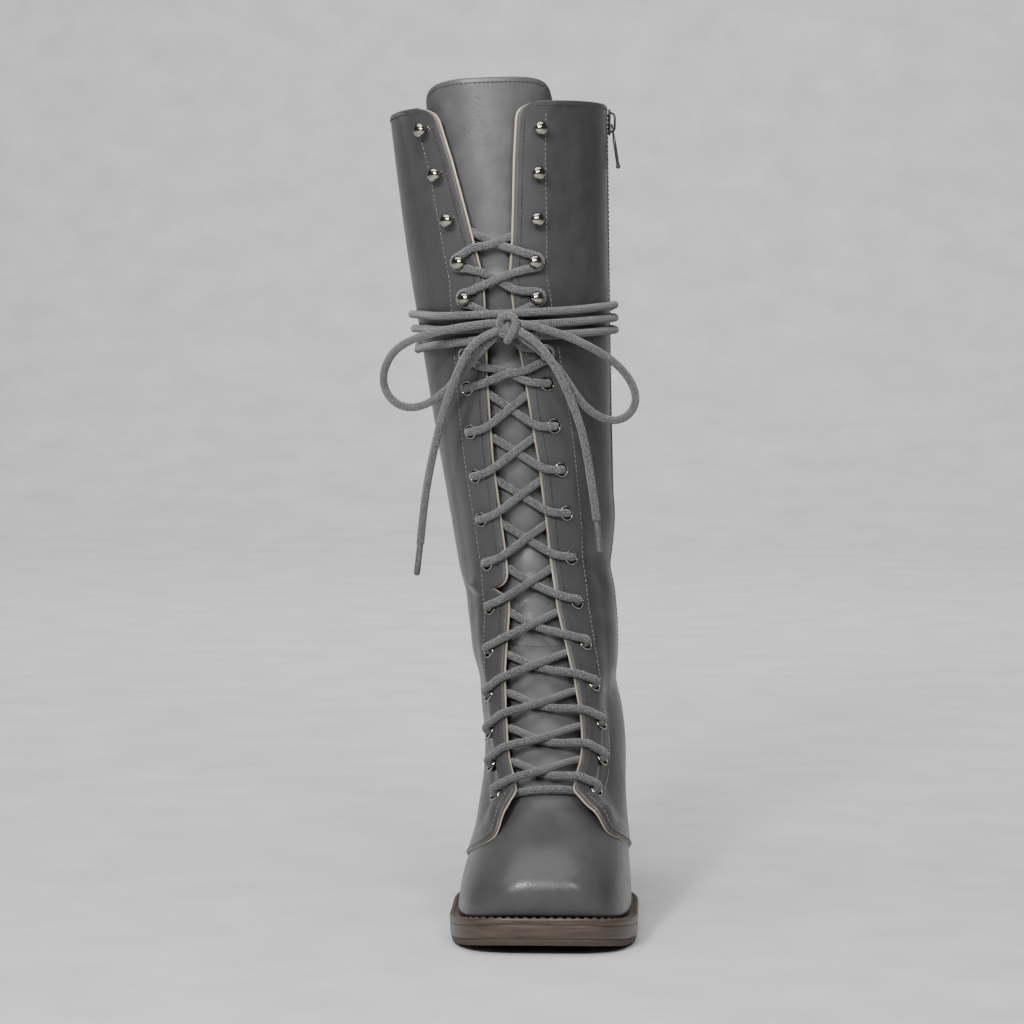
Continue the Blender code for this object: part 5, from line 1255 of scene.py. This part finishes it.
# Sole: each layer has rows of (share drawn in to the spine, inset from the welt's edge, height) from below to
# above, and the top lift rings of (share drawn in, height)
sole = {
    "overhang": 4.0, "waistOverhang": 2.5, "narrows": (0.13, 0.25), "stations": 420,
    "spineX": 3.0, "spineY": (-165.0, 38.0),
    "tread": ((1.0, 1.4, 0.0), (0.55, 1.4, 0.0), (0.2, 1.4, 0.0), (0.0, 1.9, 0.0), (0.0, 1.4, 0.5),
              (0.0, 0.8, 2.6), (0.0, 0.75, 3.1), (0.3, 0.75, 3.1), (1.0, 0.75, 3.1)),
    "midsole": ((1.0, 0.6, 3.2), (0.3, 0.6, 3.2), (0.0, 0.9, 3.2), (0.0, 0.55, 3.5), (0.0, 0.4, 5.0),
                (0.0, 0.3, 6.6), (0.0, 0.25, 8.4), (0.0, 0.2, 9.7), (0.0, 0.3, 9.95), (0.3, 0.3, 9.95),
                (1.0, 0.3, 9.95)),
    "welt": ((0.0, 13.0, 10.0), (0.0, 0.3, 10.0), (0.0, 0.16, 10.1), (0.0, 0.05, 11.3), (0.0, 0.05, 12.7),
             (0.0, 0.25, 13.1), (0.0, 0.8, 13.3), (0.0, 0.9, 12.6), (0.0, 13.0, 12.6)),
    "weltTop": ((0.0, 0.85, 12.5), (0.0, 0.8, 13.2), (0.0, 1.1, 13.3), (0.0, 1.7, 13.0), (0.0, 2.5, 13.3),
                (0.0, 13.0, 13.3), (0.0, 13.0, 12.65)),
    "weltSeam": {"inset": 1.9, "height": 13.2, "pitch": 4.2, "length": 3.3, "radius": 0.5},
    "heelBreast": 6.0, "heelTaper": 2.2, "breastHollow": 1.6, "seatInset": 0.6, "blockFoot": (6.15, 6.5),
    "topLift": ((1.0, 0.0), (0.5, 0.0), (0.015, 0.0), (0.0, 0.5), (0.0, 5.5), (0.015, 6.0), (0.5, 6.0),
                (1.0, 6.0)),
}


# Feather line as one closed curve, evenly spaced: its points, outward normals and the share of the way to the
# heel
def featherLine(count):
    angle = np.linspace(-math.pi, math.pi, 6001)
    plan = surfaceAt(angle, 0.0)[:, :2]
    length = lengthOf(plan)
    at = np.linspace(0.0, length[-1], count, endpoint=False)
    plan = np.stack([np.interp(at, length, plan[:, k]) for k in range(2)], -1)
    kernel = np.hanning(9) / np.hanning(9).sum()
    tangent = np.roll(plan, -2, 0) - np.roll(plan, 2, 0)
    across, ahead = (np.convolve(np.pad(tangent[:, k], 4, mode="wrap"), kernel, mode="valid")
                     for k in range(2))
    normal = unit(np.stack((ahead, -across), -1))
    share = (1.0 - np.cos(np.interp(at, length, angle))) / 2.0
    return plan, normal, share


featherPlan, featherNormal, featherShare = featherLine(sole["stations"])
narrowing = smooth((featherShare - sole["narrows"][0]) / (sole["narrows"][1] - sole["narrows"][0]))
edgeWidth = sole["overhang"] - (sole["overhang"] - sole["waistOverhang"]) * narrowing


# Layer of the sole: the feather line moved out, drawn in to a spine where it closes, at heights above the
# tread line
def soleGrid(table):
    rings = []
    for drawn, inset, height in table:
        plan = featherPlan + featherNormal * (edgeWidth - inset)[:, None]
        spine = np.stack((np.full(len(plan), sole["spineX"]), np.clip(plan[:, 1], *sole["spineY"])), -1)
        plan = plan * (1.0 - drawn) + spine * drawn
        rings.append(np.column_stack((plan, treadLine(plan[:, 1]) + height)))
    return np.stack(rings)


# One layer as a piece: its rows joined by quads, and the last to the first where it is a hollow ring
def addSoleLayer(name, layer, finish, nodes, slot, ring=False):
    table = sole[layer] + sole[layer][:1] if ring else sole[layer]
    grid = soleGrid(table)
    addPiece(name, grid, gridFaces(len(grid), grid.shape[1], wrap=True), finish, nodes, slot=slot)


addSoleLayer("tread_sheet", "tread", rubber, ["outsole"], "tread")
addSoleLayer("sole_leather_edge", "midsole", soleEdge, ["midsole"], "sole_leather")
addSoleLayer("welt_edge", "welt", soleEdge, ["welt"], "sole_leather", ring=True)
addSoleLayer("welt_top", "weltTop", weltFinish, ["welt"], "welt", ring=True)


# Stitches round the welt: one closed run on top of it
def addWeltStitches(seam):
    loop = soleGrid(((0.0, seam["inset"], seam["height"]),))[0]
    line = np.concatenate((loop, loop[:1]))
    upwards = np.tile((0.0, 0.0, 1.0), (len(line), 1))
    run = stitchesAlong(line, upwards, seam["pitch"], seam["length"], seam["radius"])
    addPiece("welt_stitches", *run, weltThread, slot="welt")


addWeltStitches(sole["weltSeam"])


# Plan of the heel: the feather line behind the breast, closed by a straight breast line
def heelPlan(inset):
    behind = featherPlan[:, 1] > sole["heelBreast"]
    x, y = featherPlan[behind].T
    order = np.argsort(np.arctan2(x, sole["heelBreast"] - y) % (2.0 * math.pi))
    plan = (featherPlan + featherNormal * (edgeWidth - inset)[:, None])[behind][order]
    breast = np.linspace(plan[-1], plan[0], 26)[1:-1]
    breast[:, 1] += sole["breastHollow"] * np.sin(np.linspace(0.0, math.pi, 26)[1:-1])
    return np.concatenate((plan, breast))


# Heel block and top lift: rings of that plan, tapered from the seat down by a power, closed below and above
def addHeel():
    bottom, top = heelPlan(sole["heelTaper"]), heelPlan(sole["seatInset"])
    middle = bottom.mean(0)

    # The plan between bottom and top by share, drawn in to its middle, at a height
    def ring(share, draw, z):
        plan = bottom * (1.0 - share) + top * share
        plan = plan * (1.0 - draw) + middle * draw
        return np.column_stack((plan, np.broadcast_to(z, (len(plan),))))

    seat = treadLine(top[:, 1]) - 0.15
    low, foot = sole["blockFoot"]
    block = [ring(0.0, draw, low) for draw in (1.0, 0.5, 0.02)] + [ring(0.0, 0.0, foot)]
    block += [ring(t ** 1.6, 0.0, foot + (seat - foot) * t) for t in np.linspace(0.05, 1.0, 18)]
    block += [ring(1.0, draw, seat) for draw in (0.5, 1.0)]
    lift = [ring(0.0, draw, z) for draw, z in sole["topLift"]]
    for name, rings, finish, node, slot in (("heel_stack", block, stackFinish, "heel", "heel"),
                                            ("heel_top_lift", lift, rubber, "top_lift", "tread")):
        grid = np.stack(rings)
        addPiece(name, grid, gridFaces(len(grid), grid.shape[1], wrap=True), finish, [node], slot=slot)


# Stacked heel leather: brown lifts 4.5 mm thick, glued and sanded, so fine level lines show
def stackedLeather(settings):
    made = mottledFinish(settings)
    tree = made.node_tree
    shader = tree.nodes["Principled BSDF"]
    coord = addNode(tree, "ShaderNodeTexCoord").outputs["Object"]
    height = addNode(tree, "ShaderNodeSeparateXYZ", {0: coord}).outputs[2]
    turn = addNode(tree, "ShaderNodeMath", {0: height, 1: 2.0 * math.pi * perMetre(settings["liftMm"])},
                   operation="MULTIPLY")
    wave = addNode(tree, "ShaderNodeMath", {0: turn.outputs[0]}, operation="COSINE")
    line = addNode(tree, "ShaderNodeMapRange", {"Value": wave.outputs[0], "From Min": 0.93, "From Max": 1.0,
                                                "To Max": 0.7})
    base = shader.inputs["Base Color"].links[0].from_socket
    mixed = addNode(tree, "ShaderNodeMix", {0: line.outputs[0], 6: base, 7: linear(settings["glue"])},
                    data_type="RGBA")
    tree.links.new(mixed.outputs[2], shader.inputs["Base Color"])
    return made


stackLook = {**edgeLook, "name": "stackedHeelLeather", "liftMm": 4.5, "glue": "#1d1512"}
stackFinish = stackedLeather(stackLook)
addHeel()
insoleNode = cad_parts["insole"]
insoleNode.data.materials.clear()
insoleNode.data.materials.append(insoleFinish)
print("sole and heel made")

# Zip: two tapes, a row of teeth, the slider with its bridge, and the pull on its hinge; sizes in millimetres
zipper = {"tapeLevel": -1.5, "tapeThick": 0.5, "toothPitch": 1.45, "tooth": (1.5, 0.5, 0.85),
          "toothLevel": 0.9, "toothAside": 0.8, "plate": (0.75, 4.1, 7.0), "plateTaper": 0.12,
          "bridge": ((0.7, -5.2), (2.6, -4.6), (3.5, -3.2), (3.6, 0.0), (3.5, 3.2), (2.6, 4.6), (0.7, 5.2)),
          "bridgeRadius": 0.62, "hinge": (2.1, -1.4), "tilt": 8.7, "eye": (2.5, 7.2), "eyeCorner": 0.7,
          "wire": 0.55, "knob": (22.1, 1.3, 2.8),
          "tab": ((6.2, 2.9, 0.6), (7.4, 3.2, 0.82), (12.0, 3.1, 0.88), (20.6, 2.8, 0.88), (21.6, 2.6, 0.6))}


# Rounded block: a superellipsoid, signed powers of sine and cosine on two angles
def roundedBlock(half, power=0.45, steps=(9, 14)):
    a = np.linspace(-math.pi / 2.0, math.pi / 2.0, steps[0])[:, None]
    b = np.linspace(0.0, 2.0 * math.pi, steps[1], endpoint=False)[None, :]
    ca, sa, cb, sb = (np.sign(f) * np.abs(f) ** power for f in (np.cos(a), np.sin(a), np.cos(b), np.sin(b)))
    grid = np.stack(np.broadcast_arrays(half[0] * ca * cb, half[1] * ca * sb, half[2] * sa + 0.0 * b), -1)
    return grid.reshape(-1, 3), gridFaces(*steps, wrap=True)


# Tape and teeth: a flat strip in the slit, and blocks on it by turns from the left and the right
def addZipChain():
    rows = np.linspace(zipLine["footRow"] + 0.05, throat["collarRow"] - 0.03, 200)
    zipFront, zipBack = zipEdges(rows)
    share = np.array((-0.12, 0.5, 1.12, 1.12, 0.5, -0.12))
    level = zipper["tapeLevel"] + zipper["tapeThick"] * np.array((1.0, 1.0, 1.0, 0.0, 0.0, 0.0))
    angle = zipFront[:, None] + (zipBack - zipFront)[:, None] * share
    full = np.broadcast_to(rows[:, None], angle.shape)
    base = surfaceAt(angle, full)
    grid = skin(angle, full, creaseLevel(angle, base) + level)
    faces = gridFaces(len(rows), len(share), wrap=True)
    addPiece("zip_tape", grid, faces, zipTape, ["zip_chain"], slot="zip")
    middle = (zipFront + zipBack) / 2.0
    level = zipper["tapeLevel"] + zipper["toothLevel"]
    line = skin(middle, rows, creaseLevel(middle, surfaceAt(middle, rows)) + level)
    out = normalAt(middle, rows)
    run = lengthOf(line)
    count = int(run[-1] / zipper["toothPitch"])
    at = (np.arange(count) + 0.5) * run[-1] / count
    centre, up = (np.stack([np.interp(at, run, a[:, k]) for k in range(3)], -1) for a in (line, out))
    ahead = unit(np.stack([np.interp(at + 1.0, run, line[:, k]) - np.interp(at - 1.0, run, line[:, k])
                           for k in range(3)], -1))
    aside = np.cross(ahead, up) * np.where(np.arange(count) % 2, 1.0, -1.0)[:, None]
    block, shape = roundedBlock(zipper["tooth"], 0.5, (5, 8))
    turned = (block[None, :, :1] * aside[:, None] + block[None, :, 1:2] * ahead[:, None]
              + block[None, :, 2:] * up[:, None])
    grid = (centre + aside * zipper["toothAside"])[:, None] + turned
    faces = (shape[None] + (np.arange(count) * len(block))[:, None, None]).reshape(-1, 4)
    addPiece("zip_teeth", grid, faces, zinc, slot="zip")


# Back of the slider: on the zip's middle at its height, a little off the leather
def sliderPlace():
    rows = np.linspace(throat["firstRow"], throat["collarRow"], 300)
    line = surfaceAt(np.mean(zipEdges(rows), axis=0), rows)
    at = np.array([np.interp(zipLine["sliderZ"], line[:, 2], line[:, k]) for k in range(3)])
    return at + np.array((zipLine["sliderSeat"], 0.0, 0.0))


# Slider: a rounded plate, narrower below, with its bridge; pull: an eye of wire, a flat tab and a rolled end
def addSliderAndPull():
    at = sliderPlace()
    plate, faces = roundedBlock(zipper["plate"], 0.4, (15, 24))
    plate[:, 1] *= 1.0 - zipper["plateTaper"] * (1.0 - plate[:, 2] / zipper["plate"][2])
    plate = plate + at + np.array((zipper["plate"][0], 0.0, 0.0))
    arch = np.array([at + np.array((out, 0.0, up)) for out, up in zipper["bridge"]])
    bridge = tube(routeCurve(arch, 0.5), zipper["bridgeRadius"], 10)[:2]
    addPiece("zip_slider_body", *joined([(plate, faces), bridge]), zinc, ["zip_slider"], slot="nickel")
    lean = math.radians(zipper["tilt"])
    down = np.array((math.sin(lean), 0.0, -math.cos(lean)))
    out = np.array((math.cos(lean), 0.0, math.sin(lean)))
    across = np.array((0.0, 1.0, 0.0))
    hinge = at + np.array((zipper["hinge"][0], 0.0, zipper["hinge"][1]))
    half, deep = zipper["eye"]
    corner = zipper["eyeCorner"]
    eye = [(-half + corner, 0.0), (half - corner, 0.0), (half, corner), (half, deep - corner),
           (half - corner, deep), (-half + corner, deep), (-half, deep - corner), (-half, corner),
           (-half + corner, 0.0)]
    eyeLine = np.array([hinge + y * across + d * down for y, d in eye])
    wire = tube(eyeLine, zipper["wire"], 10, close=False)[:2]
    turn = np.linspace(0.0, 2.0 * math.pi, 24, endpoint=False)
    cy, cx = (np.sign(f(turn)) * np.abs(f(turn)) ** 0.4 for f in (np.cos, np.sin))
    table = np.array(zipper["tab"])
    table = np.concatenate((table[:1] * (1.0, 0.02, 0.02), table, table[-1:] * (1.0, 0.02, 0.02)))
    tab = np.stack([hinge + d * down + w * cy[:, None] * across + t * cx[:, None] * out for d, w, t in table])
    rollDown, radius, reach = zipper["knob"]
    spots = np.linspace(-1.0, 1.0, 11)
    roll = tube(np.array([hinge + rollDown * down + reach * s * across for s in spots]),
                radius * np.sqrt(1.0 - 0.7 * np.abs(spots) ** 6), 14)[:2]
    parts = [wire, (tab.reshape(-1, 3), gridFaces(len(table), 24, wrap=True)), roll]
    addPiece("zip_pull_tab", *joined(parts), zinc, ["zip_pull"], body="pull", slot="nickel")


addZipChain()
addSliderAndPull()
print("zip made")

# Studio: a pale sweep with its own light, a soft light overhead, two in front that also show on the toe, and
# a narrow one on the shaft; each light is given by spot and aim in millimetres, size in metres, power in
# watts and beam in degrees
studio = {"floor": "#d4d4d4", "floorDark": "#c4c4c4", "world": "#c8c8c8", "worldStrength": 0.14}
lights = (
    ("overheadSoftbox", (-260.0, -420.0, 2150.0), (0.0, -100.0, 60.0), 2.4, 50.0, 180.0),
    ("frontSoftboxLeft", (-460.0, -1480.0, 980.0), (20.0, -60.0, 140.0), 0.18, 25.0, 180.0),
    ("frontSoftboxRight", (520.0, -1480.0, 980.0), (20.0, -60.0, 140.0), 0.18, 9.0, 180.0),
    ("shaftSoftbox", (-120.0, -1350.0, 760.0), (-10.0, 0.0, 400.0), 0.4, 0.7, 34.0),
    ("backdropSoftbox", (0.0, 1500.0, 2600.0), (0.0, 4000.0, 900.0), 2.5, 98.0, 180.0),
)


# Sweep: a floor that bends up into a backdrop on a quarter circle
def addSweep():
    bend = np.radians(np.linspace(0.0, 90.0, 24))
    y = np.concatenate(((-6000.0, -2000.0, 0.0, 2000.0), 2500.0 + 1500.0 * np.sin(bend), (4000.0,)))
    z = np.concatenate((np.zeros(4), 1500.0 - 1500.0 * np.cos(bend), (6000.0,)))
    x = np.linspace(-7000.0, 7000.0, 2)
    grid = np.stack(np.broadcast_arrays(x[None, :], y[:, None], z[:, None]), -1) * mm
    mesh = bpy.data.meshes.new("sweep")
    mesh.from_pydata(grid.reshape(-1, 3).tolist(), [], gridFaces(len(y), 2).tolist())
    mesh.shade_smooth()
    paper = {"name": "seamlessPaper", "dark": studio["floorDark"], "light": studio["floor"], "grainMm": 60.0,
             "rough": (0.85, 0.95), "bump": 0.02, "steady": {"IOR": 1.4}}
    mesh.materials.append(mottledFinish(paper))
    made = bpy.data.objects.new("sweep", mesh)
    bpy.context.scene.collection.objects.link(made)


# Each light looks from its spot to its aim, and the air gives an even dim grey
def addLights():
    for name, spot, aim, size, power, beam in lights:
        data = bpy.data.lights.new(name, "AREA")
        data.size = size
        data.energy = power
        data.spread = math.radians(beam)
        made = bpy.data.objects.new(name, data)
        bpy.context.scene.collection.objects.link(made)
        made.location = Vector(spot) * mm
        made.rotation_euler = (Vector(aim) - Vector(spot)).to_track_quat("-Z", "Y").to_euler()
    world = bpy.data.worlds.new("studioAir")
    world.use_nodes = True
    bpy.context.scene.world = world
    back = world.node_tree.nodes["Background"]
    back.inputs["Color"].default_value = linear(studio["world"])
    back.inputs["Strength"].default_value = studio["worldStrength"]


addSweep()
addLights()
print("studio made")
